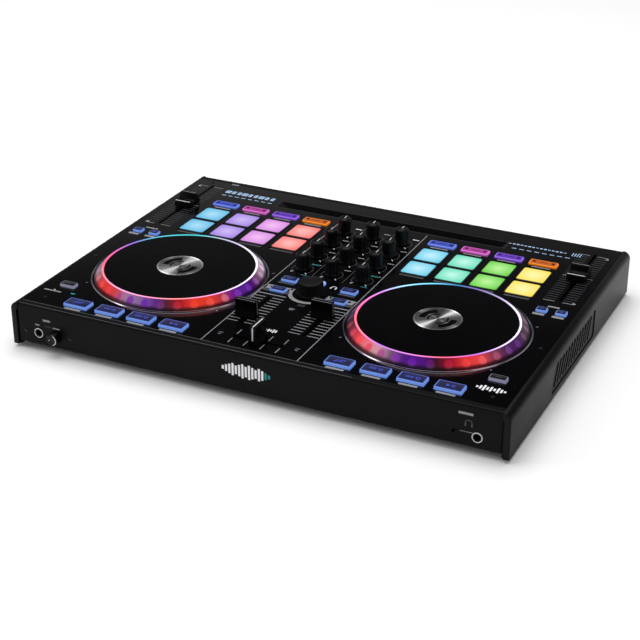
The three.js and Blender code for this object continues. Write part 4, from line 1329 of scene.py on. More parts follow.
    def carrier(self, node: str, slot: str, look: str) -> None:
        """Builds the sheet that joins the keys of a set below the panel.

        Args:
            node: Frame node of the set.
            slot: Material slot.
            look: Finish.
        """
        low, high = box_mm(node)
        spot = middle(node)
        shape = Shape()
        shape.slab((spot.x, spot.y), (high.x - low.x, high.y - low.y), low.z, low.z + 2, corner=1.5)
        shape.finish(f"{node}_carrier", node, slot, self.finishes.pick(look))

    def mode_keys(self) -> None:
        """Builds the four coloured mode keys behind the pads, with two dark windows at each one's ends."""
        node = f"{self.side.label}_mode_keys"
        top = box_mm(node)[1].z
        width, depth = self.mode_size
        for i, centre in enumerate(key_places(node, self.mode_size, 4, 1)):
            name = self.mode_names[i]
            shape = Shape()
            shape.slab(centre, self.mode_size, self.layout.panel_top - self.skirt, top - 0.3, corner=2.2, edge=0.9)
            shape.slab(centre, (width - 3.0, depth - 3.0), top - 0.8, top - 0.1, corner=1.4, edge=0.2, finish=1)
            for sign in (-1, 1):
                spot = (centre[0] + sign * (width / 2 - 5.0), centre[1] + 0.4)
                shape.slab(spot, (3.2, 3.4), top - 0.5, top, corner=0.7, finish=2)
            shape.slab(centre, (9.5, 0.9), top - 0.5, top, finish=2)
            shape.map_face(centre, self.mode_size)
            looks = (f"mode_{name}", f"mode_{name}_cap", "legend_dark")
            shape.finish(f"{node}_{name}", node, "mode_key_plastic", self.finishes.pick(*looks),
                         [node] if i == 0 else ())
        self.carrier(node, "mode_key_plastic", "socket_plastic")

    def transport_keys(self) -> None:
        """Builds the four keys in front of the jog wheel."""
        marks = {"sync": Symbol.ARROWS, "set": Symbol.DOT_BAR, "cue": Symbol.RING, "play": Symbol.PLAY}
        for label, symbol in marks.items():
            node = f"{self.side.label}_{label}_key"
            low, high = box_mm(node)
            spot = middle(node)
            self.key(f"{node}_lit", node, "blue_key_plastic", (spot.x, spot.y), (high.x - low.x, high.y - low.y),
                     high.z, ("key_blue", "legend_navy", "symbol_blue"), symbol, [node], 1.0)

    def shift_key(self) -> None:
        """Builds the pale shift key."""
        node = f"{self.side.label}_shift_key"
        low, high = box_mm(node)
        spot = middle(node)
        self.key(f"{node}_lit", node, "shift_key_plastic", (spot.x, spot.y), (high.x - low.x, high.y - low.y),
                 high.z, ("key_pale", "legend_dark", "print_dim"), Symbol.BAR, [node], 1.0)

    def small_keys(self) -> None:
        """Builds the pair of bend keys and the pair of cue keys."""
        sets = (("bend", self.bend_size, 2, 1, Symbol.BEND), ("cue", self.cue_size, 1, 2, Symbol.BAR))
        for label, size, columns, rows, symbol in sets:
            node = f"{self.side.label}_{label}_keys"
            top = box_mm(node)[1].z
            for i, centre in enumerate(key_places(node, size, columns, rows)):
                self.key(f"{node}_{i + 1}", node, "blue_key_plastic", centre, size, top,
                         ("key_blue", "legend_navy", "symbol_blue"), symbol, [node] if i == 0 else (), 0.95)
            self.carrier(node, "blue_key_plastic", "socket_plastic")

    def build(self) -> None:
        """Builds every key and pad."""
        self.pads()
        self.mode_keys()
        self.transport_keys()
        self.shift_key()
        self.small_keys()


# ---------------------------------------------------------------- knobs and faders
@dataclass
class Mixer:
    """Knobs, encoder, faders and the browse key."""

    layout: Layout
    finishes: Finishes
    flutes: int = 18
    flute_depth: float = 0.28
    pointer_width: float = 0.85

    def knob(self, node: str) -> None:
        """Builds one fluted knob with a pointer over its top.

        Args:
            node: Frame node that it replaces.
        """
        low, high = box_mm(node)
        spot = middle(node)
        radius = (high.x - low.x) / 2
        foot = self.layout.panel_top + 0.6
        top, crown = high.z, radius * 0.85
        shape = Shape()
        shape.turned((0, 0), (
            (0, low.z), (3, low.z), (3, foot), (radius, foot), (radius, foot + 1.6), (radius - 0.5, foot + 2.2),
            (radius - 0.7, foot + 3.4), (crown + 0.5, top - 2.2), (crown + 0.2, top - 0.9), (crown - 0.5, top - 0.2),
            (crown - 1.3, top), (crown - 2, top - 0.15), (0, top - 0.25)), self.flutes * 6)
        for vert in shape.bm.verts:
            reach = math.hypot(vert.co.x, vert.co.y)
            if foot + 2.5 < vert.co.z < top - 0.5 and reach > crown - 0.2:
                wave = 0.5 + 0.5 * math.cos(self.flutes * math.atan2(vert.co.y, vert.co.x))
                shrink = 1 - self.flute_depth * wave / reach
                vert.co.x *= shrink
                vert.co.y *= shrink
        bmesh.ops.translate(shape.bm, verts=shape.bm.verts, vec=(spot.x, spot.y, 0))
        shape.slab((spot.x, spot.y + crown * 0.52), (self.pointer_width, crown * 0.96), top - 0.4, top - 0.02,
                   finish=1)
        with shape.lump(1) as bm:
            bmesh.ops.create_cube(bm, size=1.0, matrix=Matrix.Diagonal((self.pointer_width, 0.5, 6.5, 1)))
            lean = math.atan2(radius - 0.7 - crown - 0.5, top - foot - 6)
            bmesh.ops.rotate(bm, verts=bm.verts, matrix=Matrix.Rotation(lean, 3, "X"))
            bmesh.ops.translate(bm, verts=bm.verts, vec=(spot.x, spot.y + crown + 0.36, top - 4.0))
        looks = self.finishes.pick("knob_black", "pointer_white")
        shape.finish(f"{node}_cap", node, "knob_black", looks, [node], 40)

    def encoder(self) -> None:
        """Builds the knurled browse encoder with a dished top."""
        node = "browse_encoder"
        low, high = box_mm(node)
        spot = middle(node)
        radius = (high.x - low.x) / 2
        foot, top = self.layout.panel_top + 0.6, high.z
        ridges = 30
        shape = Shape()
        shape.turned((0, 0), (
            (0, low.z), (3, low.z), (3, foot), (radius, foot), (radius, foot + 1.2), (radius - 0.4, foot + 1.8),
            (radius - 0.9, top - 1.4), (radius - 1.5, top - 0.4), (radius - 2.4, top), (radius - 3.4, top - 0.3),
            (radius - 7, top - 1.2), (0, top - 1.6)), ridges * 6)
        for vert in shape.bm.verts:
            reach = math.hypot(vert.co.x, vert.co.y)
            if foot + 1.5 < vert.co.z < top - 0.6 and reach > radius - 2:
                wave = abs(math.cos(ridges * math.atan2(vert.co.y, vert.co.x) / 2))
                vert.co.x *= 1 - 0.035 * wave
                vert.co.y *= 1 - 0.035 * wave
        bmesh.ops.translate(shape.bm, verts=shape.bm.verts, vec=(spot.x, spot.y, 0))
        shape.finish("browse_encoder_cap", node, "knob_black", self.finishes.pick("encoder_black"), [node], 40)

    def back_key(self, keys: Keys) -> None:
        """Builds the bright key behind the encoder."""
        node = "browse_back_key"
        low, high = box_mm(node)
        spot = middle(node)
        keys.key(f"{node}_lit", node, "blue_key_plastic", (spot.x, spot.y), (high.x - low.x, high.y - low.y), high.z,
                 ("key_bright", "key_bright", "symbol_blue"), Symbol.BAR, [node], 1.6)

    def pitch_fader(self, side: Side) -> None:
        """Builds a pitch fader cap: low front ridge with a white line, scoop and high rear ridge with a painted
        highlight line on its top.
        """
        node = f"{side.label}_pitch_fader"
        low, high = box_mm(node)
        spot = middle(node)
        foot = self.layout.panel_top + 1.0
        front, back = low.y, high.y
        outline = (
            (front, foot), (back, foot, 0.6), (back - 0.8, foot + 3.0, 0.6), (back - 6.5, high.z, 1.2),
            (back - 9.6, high.z, 1.2), (back - 13.5, foot + 4.6, 2.5), (front + 5.5, foot + 4.0, 2.0),
            (front + 3.2, foot + 6.2, 0.8), (front + 1.2, foot + 6.2, 0.8))
        shape = Shape()
        shape.extruded(outline, low.x, high.x, Axis.X, edge=0.5)
        self.stem(shape, (spot.x, spot.y), low.z, foot, along_x=False)
        shape.slab((spot.x, front + 2.2), (high.x - low.x - 1.4, 1.3), foot + 5.9, foot + 6.28, finish=1)
        # Painted highlight: a grey strip along the rear ridge's top.
        shape.slab((spot.x, back - 8.0), (high.x - low.x - 1.4, 0.8), high.z - 0.3, high.z + 0.06, finish=2)
        looks = self.finishes.pick("fader_black", "pointer_white", "print_grey")
        shape.finish(f"{node}_cap", node, "fader_black", looks, [node], 40)

    def stem(self, shape: Shape, centre: Point, low: float, foot: float, along_x: bool) -> None:
        """Adds the blade that goes down through the slot.

        Args:
            shape: The cap.
            centre: Middle of the cap.
            low: Lower end.
            foot: Underside of the cap.
            along_x: Whether the slot runs along X.
        """
        size = (7.0, 1.2) if along_x else (1.2, 7.0)
        shape.slab(centre, size, low, foot + 0.5)

    def blade_cap(self, node: str, along_x: bool) -> None:
        """Builds a tall fader cap with hollowed faces and a line over its top.

        Args:
            node: Frame node that it replaces.
            along_x: Whether the fader slides along X.
        """
        low, high = box_mm(node)
        spot = middle(node)
        foot = self.layout.panel_top + 1.0
        long, short = (high.y - low.y, high.x - low.x) if along_x else (high.x - low.x, high.y - low.y)
        tall = high.z - foot
        turn = Matrix.Rotation(math.pi / 2 if along_x else 0.0, 4, "Z")
        shape = Shape()
        with shape.lump() as bm:
            bmesh.ops.create_cube(bm, size=1.0, matrix=Matrix.Diagonal((long, short, tall, 1)))
            upright = [e for e in bm.edges if abs(e.verts[0].co.z - e.verts[1].co.z) > tall / 2]
            bmesh.ops.subdivide_edges(bm, edges=upright, cuts=9, use_grid_fill=True)
            for vert in bm.verts:
                share = vert.co.z / tall + 0.5
                vert.co.y *= 1 - 0.27 * share - 0.34 * math.sin(math.pi * share) * (1 - 0.3 * share)
                vert.co.x *= 1 - 0.03 * share
            sharp = [e for e in bm.edges if len(e.link_faces) == 2 and e.calc_face_angle() > 1.0]
            bmesh.ops.bevel(bm, geom=sharp, offset=0.6, segments=3, profile=0.5, affect="EDGES", material=-1)
            place = Matrix.Translation((spot.x, spot.y, foot + tall / 2)) @ turn
            bmesh.ops.transform(bm, matrix=place, verts=bm.verts)
        self.stem(shape, (spot.x, spot.y), low.z, foot, along_x)
        lines = (0.0,) if along_x else (-2.1, 2.1)
        for offset in lines:
            size = (1.3, long - 2.0) if along_x else (long - 2.0, 0.5)
            shape.slab((spot.x, spot.y + offset), size, high.z - 0.3, high.z + 0.06, finish=1)
        with shape.lump(1) as bm:
            drop = 13.5
            width = 1.3 if along_x else 0.6
            bmesh.ops.create_cube(bm, size=1.0, matrix=Matrix.Diagonal((0.4, width, drop, 1)))
            reach = (-1 if along_x else 1) * (long / 2 - 0.14)
            lean = math.copysign(0.03 * long / 2 / tall, reach)
            bmesh.ops.rotate(bm, verts=bm.verts, matrix=Matrix.Rotation(-lean, 3, "Y"))
            bmesh.ops.translate(bm, verts=bm.verts, vec=(reach, 0, high.z - drop / 2 - 0.7))
            bmesh.ops.transform(bm, matrix=Matrix.Translation((spot.x, spot.y, 0)) @ turn, verts=bm.verts)
        looks = self.finishes.pick("fader_black", "pointer_white" if along_x else "print_grey")
        shape.finish(f"{node}_cap", node, "fader_black", looks, [node], 40)

    def build(self, keys: Keys) -> None:
        """Builds the mixer's moving pieces.

        Args:
            keys: Maker of the lit keys.
        """
        for node in mixer_knobs():
            self.knob(node)
        self.encoder()
        self.back_key(keys)
        for side in Side:
            self.pitch_fader(side)
            self.blade_cap(f"{side.label}_channel_fader", along_x=False)
        self.blade_cap("crossfader", along_x=True)


# ---------------------------------------------------------------- sockets and the front knob
@dataclass
class Fittings:
    """Front jacks and level knob, rear sockets and switch."""

    layout: Layout
    finishes: Finishes

    def jack(self, node: str, bore: float, ring: str = "jack_chrome") -> None:
        """Builds a jack socket: bright ring nut round a black barrel.

        Args:
            node: Frame node that it replaces.
            bore: Radius of the hole.
            ring: Finish of the ring nut.
        """
        low, high = box_mm(node)
        spot = middle(node)
        radius = (high.x - low.x) / 2
        face, inner = low.y, radius - 0.7
        shape = Shape()
        shape.turned((spot.x, spot.z), ((inner, face + 0.3), (inner + 0.3, face), (radius - 0.4, face),
                                        (radius, face + 0.4), (radius, face + 6), (inner, face + 6)), 64, 0, Axis.Y)
        shape.turned((spot.x, spot.z), ((bore, face + 0.5), (inner, face + 0.5), (inner, high.y), (0, high.y),
                                        (0, high.y - 2), (bore, high.y - 2)), 48, 1, Axis.Y)
        looks = self.finishes.pick(ring, "socket_plastic")
        shape.finish(f"{node}_socket", HOUSING, "socket_metal", looks, [node])

    def level_knob(self) -> None:
        """Builds the small knob on the front wall, with a painted highlight crescent on the right of its face and a
        white dot.
        """
        node = "mic_level_knob"
        low, high = box_mm(node)
        spot = middle(node)
        radius = (high.x - low.x) / 2
        tip, wall = low.y, self.layout.front - 0.6
        shape = Shape()
        shape.turned((spot.x, spot.z), (
            (0, tip + 0.5), (radius - 2.4, tip + 0.4), (radius - 1.6, tip), (radius - 0.8, tip + 0.1),
            (radius - 0.4, tip + 0.9), (radius - 0.2, wall - 1.2), (radius, wall - 0.8), (radius, wall),
            (3, wall), (3, high.y), (0, high.y)), 72, 0, Axis.Y)
        # Painted highlight: a white crescent along the right of the face's rim.
        shape.arc((0, 0), (radius - 1.5, radius - 0.7), (-70, 62), -0.3, 0.06, 1, 30)
        shape.slab((-2.2, 0), (1.0, 1.0), -0.3, 0.06, corner=0.4, finish=1)
        layer = [v for f in shape.bm.faces if f.material_index == 1 for v in f.verts]
        place = Matrix.Translation((spot.x, tip, spot.z)) @ Matrix.Rotation(math.pi / 2, 4, "X")
        bmesh.ops.transform(shape.bm, matrix=place, verts=list(set(layer)))
        looks = self.finishes.pick("knob_black", "pointer_white")
        shape.finish(f"{node}_cap", node, "knob_black", looks, [node], 40)

    def outputs(self) -> None:
        """Builds the block of four turned output sockets with coloured collars."""
        node = "output_sockets"
        low, high = box_mm(node)
        spot = middle(node)
        wall = self.layout.back
        shape = Shape()
        shape.slab((spot.x, (low.y + wall + 0.4) / 2), (high.x - low.x, wall + 0.4 - low.y), low.z, high.z,
                   corner=0.5, finish=1)
        pitch = (high.x - low.x) / 4
        for i in range(4):
            x = spot.x + (i - 1.5) * pitch
            shape.turned((x, spot.z), ((2.6, wall + 0.2), (4.1, wall + 0.2), (4.1, high.y - 0.4), (3.8, high.y),
                                       (2.9, high.y), (2.6, high.y - 0.4)), 40, 0, Axis.Y)
            shape.turned((x, spot.z), ((1.6, wall + 0.2), (2.6, wall + 0.2), (2.6, high.y - 1.2),
                                       (1.6, high.y - 1.2)), 32, 3 if i % 2 else 2, Axis.Y)
            shape.turned((x, spot.z), ((4.1, wall + 0.3), (5.4, wall + 0.3), (5.2, wall + 1.2), (4.1, wall + 1.2)),
                         40, 3 if i % 2 else 2, Axis.Y)
        looks = ("socket_metal", "socket_plastic", "ring_ivory", "ring_red")
        shape.finish("output_socket_block", HOUSING, "socket_metal", self.finishes.pick(*looks), [node])

    def usb(self) -> None:
        """Builds the square data socket with its folded shell and tongue."""
        node = "usb_socket"
        low, high = box_mm(node)
        spot = middle(node)
        shape = Shape()
        wall = 0.8
        for dx, size_x, size_z, dz in ((-1, wall, 1, 0), (1, wall, 1, 0), (0, 1, wall, -1), (0, 1, wall, 1)):
            width = size_x if dx else high.x - low.x - 2.4
            tall = high.z - low.z - 2.4 if dx else size_z
            x = spot.x + dx * (width / 2 + (high.x - low.x - 2.4) / 2 - wall) if dx else spot.x
            z = spot.z + dz * ((high.z - low.z - 2.4) / 2 - wall / 2)
            shape.slab((x, (low.y + high.y) / 2), (width, high.y - low.y), z - tall / 2, z + tall / 2)
        shape.slab((spot.x, low.y + 2), (high.x - low.x - 3, 3), low.z + 1.4, high.z - 1.4, finish=1)
        shape.slab((spot.x, high.y - 8), (5.6, 12), spot.z - 1.6, spot.z + 1.6, finish=1)
        shape.finish("usb_socket_shell", HOUSING, "socket_metal",
                     self.finishes.pick("socket_metal", "socket_plastic"), [node])

    def switch(self) -> None:
        """Builds the rocker of the power switch with its plain mark."""
        node = "power_switch"
        low, high = box_mm(node)
        spot = middle(node)
        wall = self.layout.back
        outline = ((low.x, low.y), (high.x, low.y), (high.x, wall + 0.8, 0.5), (spot.x, wall - 0.2, 3.0),
                   (low.x, wall + 2.6, 0.8))
        shape = Shape()
        with shape.lump() as bm:
            bm.faces.new([bm.verts.new((p[0], p[1], low.z)) for p in outline])
            chosen = [v for v in bm.verts if v.co.y > wall - 1]
            bmesh.ops.bevel(bm, geom=chosen, offset=0.7, segments=4, profile=0.5, affect="VERTICES", material=-1)
            grown = bmesh.ops.extrude_face_region(bm, geom=list(bm.faces))
            moved = [v for v in grown["geom"] if isinstance(v, bmesh.types.BMVert)]
            bmesh.ops.translate(bm, verts=moved, vec=(0, 0, high.z - low.z))
            ends = [e for e in bm.edges if abs(e.verts[0].co.z - e.verts[1].co.z) < 1e-6]
            bmesh.ops.bevel(bm, geom=ends, offset=0.4, segments=2, profile=0.5, affect="EDGES", material=-1)
        shape.slab((spot.x + 4.6, wall + 0.28), (0.6, 0.5), spot.z - 1.6, spot.z + 1.6, finish=1)
        shape.finish(f"{node}_rocker", node, "switch_black",
                     self.finishes.pick("switch_black", "pointer_white"), [node])

    def build(self) -> None:
        """Builds the fittings."""
        self.jack("mic_jack", 3.2)
        self.jack("phones_jack", 3.2)
        self.jack("mini_phones_jack", 1.8, "screw_black")
        self.level_knob()
        self.outputs()
        self.usb()
        self.switch()


# ---------------------------------------------------------------- printed marks
class Ink(Enum):
    """Print colours, in the order of the print's materials; EDGE is a painted highlight, not print."""

    GREY = 0
    DIM = 1
    WHITE = 2
    BLUE = 3
    TEAL = 4
    LAMP = 5
    EDGE = 6


@dataclass
class Print:
    """Silk-screened lines, scales and plain icons on the panel and the front wall, plus two painted highlight lines
    along the panel's front edge.
    """

    layout: Layout
    finishes: Finishes
    thickness: float = 0.08
    line: float = 0.9
    mixer_edge: float = 51.0
    inner_line: float = 17.5

    def inks(self) -> list[bpy.types.Material]:
        """Materials in the order of Ink."""
        names = ("print_grey", "print_dim", "print_white", "print_blue", "print_teal", "lamp_teal", "edge_grey")
        return self.finishes.pick(*names)

    def bar(self, shape: Shape, x: float, y: float, width: float, depth: float, ink: Ink = Ink.GREY,
            turn: float = 0.0) -> None:
        """Prints a bar on the panel.

        Args:
            shape: The print.
            x: Middle.
            y: Middle.
            width: Size along X.
            depth: Size along Y.
            ink: Colour.
            turn: Angle in radians.
        """
        top = self.layout.panel_top
        shape.slab((x, y), (width, depth), top, top + self.thickness, finish=ink.value, turn=turn)

    def curve(self, shape: Shape, centre: Point, radii: Point, degrees: Point, ink: Ink = Ink.GREY) -> None:
        """Prints a curved bar on the panel.

        Args:
            shape: The print.
            centre: Middle of the curve.
            radii: Inner and outer radius.
            degrees: Start and end.
            ink: Colour.
        """
        top = self.layout.panel_top
        shape.arc(centre, radii, degrees, top, top + self.thickness, ink.value)

    def mixer_lines(self, shape: Shape) -> None:
        """Prints the long lines between the mixer and the decks and between its channels."""
        rear = middle("master_level_knob").y + 32
        front = self.layout.front + 8
        inner_front = middle("browse_back_key").y + 11
        for sign in (-1, 1):
            self.bar(shape, sign * self.mixer_edge, (rear + front) / 2, self.line, rear - front)
            self.bar(shape, sign * self.inner_line, (rear + inner_front) / 2, 0.7, rear - inner_front, Ink.DIM)

    def knob_scales(self, shape: Shape) -> None:
        """Prints the arc, the end marks and the label bar of every mixer knob."""
        for node in mixer_knobs():
            spot = middle(node)
            centre = (spot.x, spot.y)
            self.curve(shape, centre, (11.0, 11.6), (-50, 60), Ink.DIM)
            self.curve(shape, centre, (11.0, 11.6), (120, 230), Ink.DIM)
            for degrees in (-50, 230):
                angle = math.radians(degrees)
                self.bar(shape, spot.x + 12.2 * math.cos(angle), spot.y + 12.2 * math.sin(angle), 3.4, 0.8,
                         Ink.WHITE, angle)
            self.bar(shape, spot.x, spot.y + 12.4, 0.8, 2.4, Ink.WHITE)
            self.bar(shape, spot.x + 10.5, spot.y + 15.6, 7.5, 1.5, Ink.WHITE if "gain" in node else Ink.GREY)
        for sign in (-1, 1):
            spot = middle("left_bass_knob" if sign < 0 else "right_bass_knob")
            self.bar(shape, spot.x + 8, spot.y + 14.8, 9, 2.4, Ink.TEAL)
            self.bar(shape, spot.x + 8, spot.y - 13.6, 7, 1.2, Ink.TEAL)

    def encoder_marks(self, shape: Shape) -> None:
        """Prints the grey band with its bow round the encoder, and the icon beside it."""
        spot = middle("browse_encoder")
        centre = (spot.x, spot.y)
        self.curve(shape, centre, (18.6, 22.8), (180, 360))
        for sign in (-1, 1):
            reach = self.mixer_edge - 1.4
            self.bar(shape, sign * (20.6 + reach) / 2, spot.y + 2.0, reach - 20.6, 3.2)
            self.bar(shape, sign * (20.6 + reach) / 2, spot.y - 8.2, reach - 20.6, 5.0, Ink.DIM)
            self.bar(shape, sign * (20.6 + reach) / 2 + sign * 9.4, spot.y - 3.4, 8.0, 7.0, Ink.GREY)
            self.bar(shape, sign * 20.7, spot.y + 1.8, 4.2, 4.0)
            self.bar(shape, sign * 34, spot.y + 12.4, 18, 2.6, Ink.DIM)
            self.bar(shape, sign * 34.5, spot.y - 17.4, 31, 1.6)
            self.bar(shape, sign * 43, spot.y - 0.2, 3.6, 3.4, Ink.DIM)
        icon = (15.0, spot.y + 23.4)
        self.curve(shape, icon, (2.5, 3.3), (-10, 190), Ink.WHITE)
        for sign in (-1, 1):
            self.bar(shape, icon[0] + sign * 2.7, icon[1] - 1.4, 1.5, 2.8, Ink.WHITE)
        for dy in (-1.3, 1.3):
            self.bar(shape, 3.0, spot.y - 27.6 + dy, 8, 1.0, Ink.DIM)
        self.bar(shape, -2.0, spot.y - 38.0, 6, 1.2, Ink.GREY)
        self.bar(shape, -2.0, spot.y - 40.4, 4.5, 1.0, Ink.GREY)

    def fader_scales(self, shape: Shape) -> None:
        """Prints the ticks beside the pitch, channel and cross faders."""
        top_line = middle("right_pitch_fader").y + 58
        for sign in (-1, 1):
            x = sign * middle("right_pitch_fader").x
            for i in range(24):
                y = top_line - 5.35 * i
                strong = i in (0, 11, 23)
                for dx in (-11, 9.2):
                    self.bar(shape, x + dx, y, 12.0, 0.9 if strong else 0.7, Ink.GREY if strong else Ink.DIM)
            for y in (top_line - 3, top_line - 121):
                self.bar(shape, x + sign * 14.6, y, 3.2, 0.9, Ink.WHITE)
            self.bar(shape, x - 13, top_line - 57.6, 3.0, 2.0, Ink.GREY)
        channel = middle("left_channel_fader").y + 17
        for sign in (-1, 1):
            x = sign * middle("right_channel_fader").x
            for i in range(11):
                y = channel + 31 - 6 * i
                for dx in (-10.6, 9.6):
                    self.bar(shape, x + dx, y, 12.6, 1.1, Ink.GREY)
        cross = middle("crossfader")
        for dy in (9.5, -9.5):
            for dx in (-25.3, -8.8, 8.8, 25.3):
                self.bar(shape, cross.x + dx, cross.y + dy, 0.9, 10, Ink.GREY)
        for sign in (-1, 1):
            self.bar(shape, sign * 41, cross.y + 1.5, 4.6, 2.6, Ink.DIM)
            self.bar(shape, sign * 41, cross.y - 2.0, 2.6, 0.9, Ink.GREY)
        for i in range(5):
            self.bar(shape, cross.x - 4 + 2.6 * i, cross.y + 24.5, 1.5, 2.0 + 2.4 * (i % 2) + 0.7 * i, Ink.WHITE)

    def deck_marks(self, shape: Shape, side: Side) -> None:
        """Prints the label bars round one deck's keys and pads.

        Args:
            shape: The print.
            side: Which deck.
        """
        sign = side.value
        label = side.label
        for name in ("sync", "set", "cue", "play"):
            spot = middle(f"{label}_{name}_key")
            self.bar(shape, spot.x, spot.y - 11.4, 18.5, 3.0, Ink.GREY)
        for x, y in key_places(f"{label}_bend_keys", Keys.bend_size, 2, 1):
            self.bar(shape, x - 0.8, y - 9.2, 12, 4.0, Ink.GREY)
        bend = middle(f"{label}_bend_keys")
        self.bar(shape, bend.x - 1.4, bend.y + 11.4, 12, 2.6, Ink.GREY)
        for x, y in key_places(f"{label}_pads", Keys.pad_size, 4, 2)[::2]:
            self.bar(shape, x, y - 19.2, 27, 2.8, Ink.DIM)
        for x, y in key_places(f"{label}_mode_keys", Keys.mode_size, 4, 1):
            self.bar(shape, x, y - 9.7, 20, 2.0, Ink.GREY)
        mode_y = middle(f"{label}_mode_keys").y
        for i in range(8):
            self.bar(shape, sign * 177.5 + (i - 3.5) * 8.5, mode_y + 26.5, 5.4, 1.4, Ink.BLUE)
        self.plate_mark(shape, side, sign * 178, mode_y + 37.5)
        for x, y in ((sign * 187 - 39, self.layout.deck_y + 91), (sign * 187 - 52, self.layout.deck_y - 88)):
            self.curve(shape, (x, y), (0.4, 0.9), (0, 360), Ink.WHITE)
        for degrees in (-38, 26, 142, 218):
            angle = math.radians(degrees)
            deck = self.layout.deck(side)
            self.bar(shape, deck[0] + 96.5 * math.cos(angle), deck[1] + 96.5 * math.sin(angle), 2.4, 0.7,
                     Ink.GREY, angle)

    def plate_mark(self, shape: Shape, side: Side, x: float, y: float) -> None:
        """Prints the plain decoration behind a deck: a run of cells on the left, level bars on the right.

        Args:
            shape: The print.
            side: Which deck.
            x: Middle.
            y: Middle.
        """
        if side is Side.LEFT:
            for i in range(9):
                width = 5.2 if i % 3 else 7.4
                self.bar(shape, x + (i - 4) * 7.2, y, width - 0.8, 7.4, Ink.BLUE)
                self.bar(shape, x + (i - 4) * 7.2, y, width - 2.8, 0.9, Ink.DIM)
            return
        for i in range(15):
            height = 1.4 + 1.4 * abs(math.sin(i * 0.9))
            self.bar(shape, x + (i - 8) * 4.4 - 3, y, 3.0, height, Ink.BLUE)
        for i in range(4):
            self.bar(shape, x + 32 + i * 2.8, y, 1.2, 8.0, Ink.BLUE)

    def corner_marks(self, shape: Shape) -> None:
        """Prints the lamp and bar beside the left shift key and the bars beside the right one."""
        left, right = middle("left_shift_key"), middle("right_shift_key")
        self.bar(shape, left.x + 14.5, left.y - 15.0, 4.6, 1.8, Ink.LAMP)
        self.bar(shape, left.x - 8.5, left.y - 17.0, 20, 2.2, Ink.GREY)
        for i, height in enumerate((3, 6.5, 10, 5.5, 8.5, 4.5, 9.5, 6, 3)):
            self.bar(shape, right.x - 13 + 3.3 * i, right.y - 20, 2.0, height, Ink.WHITE)
        self.bar(shape, left.x + 21.5, self.layout.back - 9.5, 9, 2.6, Ink.GREY)

    def build_panel(self) -> None:
        """Prints everything on the panel, and adds two painted highlight lines along its front edge."""
        shape = Shape()
        self.mixer_lines(shape)
        self.knob_scales(shape)
        self.encoder_marks(shape)
        self.fader_scales(shape)
        for side in Side:
            self.deck_marks(shape, side)
        self.corner_marks(shape)
        # Painted highlight: two thin grey lines along the front fold and the plate's front edge.
        for y, reach in ((self.layout.front + 1.9, 110.0), (self.layout.front + 8.15, 90.0)):
            start = 1 - self.layout.tray_half
            self.bar(shape, (start + reach) / 2, y, reach - start, 0.4, Ink.EDGE)
        shape.map_face((0, 0), (2, 2))
        shape.finish("panel_print", HOUSING, "panel_gloss", self.inks())

    def build_front(self) -> None:
        """Prints the marks on the front wall: an emblem of level bars and the socket labels."""
        at = self.layout
        shape = Shape()

        def bar(x: float, z: float, width: float, tall: float, ink: Ink = Ink.GREY) -> None:
            """Prints one upright bar on the wall."""
            shape.slab((x, at.front - self.thickness / 2), (width, self.thickness), z - tall / 2, z + tall / 2,
                       finish=ink.value)

        for i, tall in enumerate((4, 7, 10, 13, 9, 12, 15, 11, 15, 12, 9, 13, 10, 7, 4)):
            bar(-23.0 + i * 3.5, 31.0, 2.3, tall, Ink.TEAL if i > 12 else Ink.WHITE)
        mic, phones = middle("mic_jack"), middle("phones_jack")
        knob, mini = middle("mic_level_knob"), middle("mini_phones_jack")
        bar(mic.x + 10.5, mic.z + 15.5, 8.5, 2.2)
        bar(mic.x - 1.0, mic.z + 9.0, 5.0, 1.4)
        bar(knob.x + 1.0, knob.z + 9.0, 8.0, 1.4)
        bar((mic.x + knob.x) / 2 + 1.5, mic.z + 9.0, 9.0, 0.4, Ink.DIM)
        bar(phones.x - 11.5, phones.z + 22.0, 14.0, 2.4)
        bar((phones.x + mini.x) / 2 + 1.5, mini.z + 1.8, 13.0, 0.5)
        icon = Shape()
        icon.arc((0, 0), (3.0, 3.7), (-10, 190), 0, self.thickness, Ink.DIM.value)
        for sign in (-1, 1):
            icon.slab((sign * 3.1, -1.6), (1.5, 3.0), 0, self.thickness, finish=Ink.DIM.value)
        place = Matrix.Translation((phones.x - 8.5, at.front, phones.z + 12.5)) @ Matrix.Rotation(math.pi / 2, 4, "X")
        bmesh.ops.transform(icon.bm, matrix=place, verts=icon.bm.verts)
        shape.take_in(icon.bm)
        shape.map_face((0, 0), (2, 2))
        shape.finish("front_print", HOUSING, "tray_steel", self.inks())


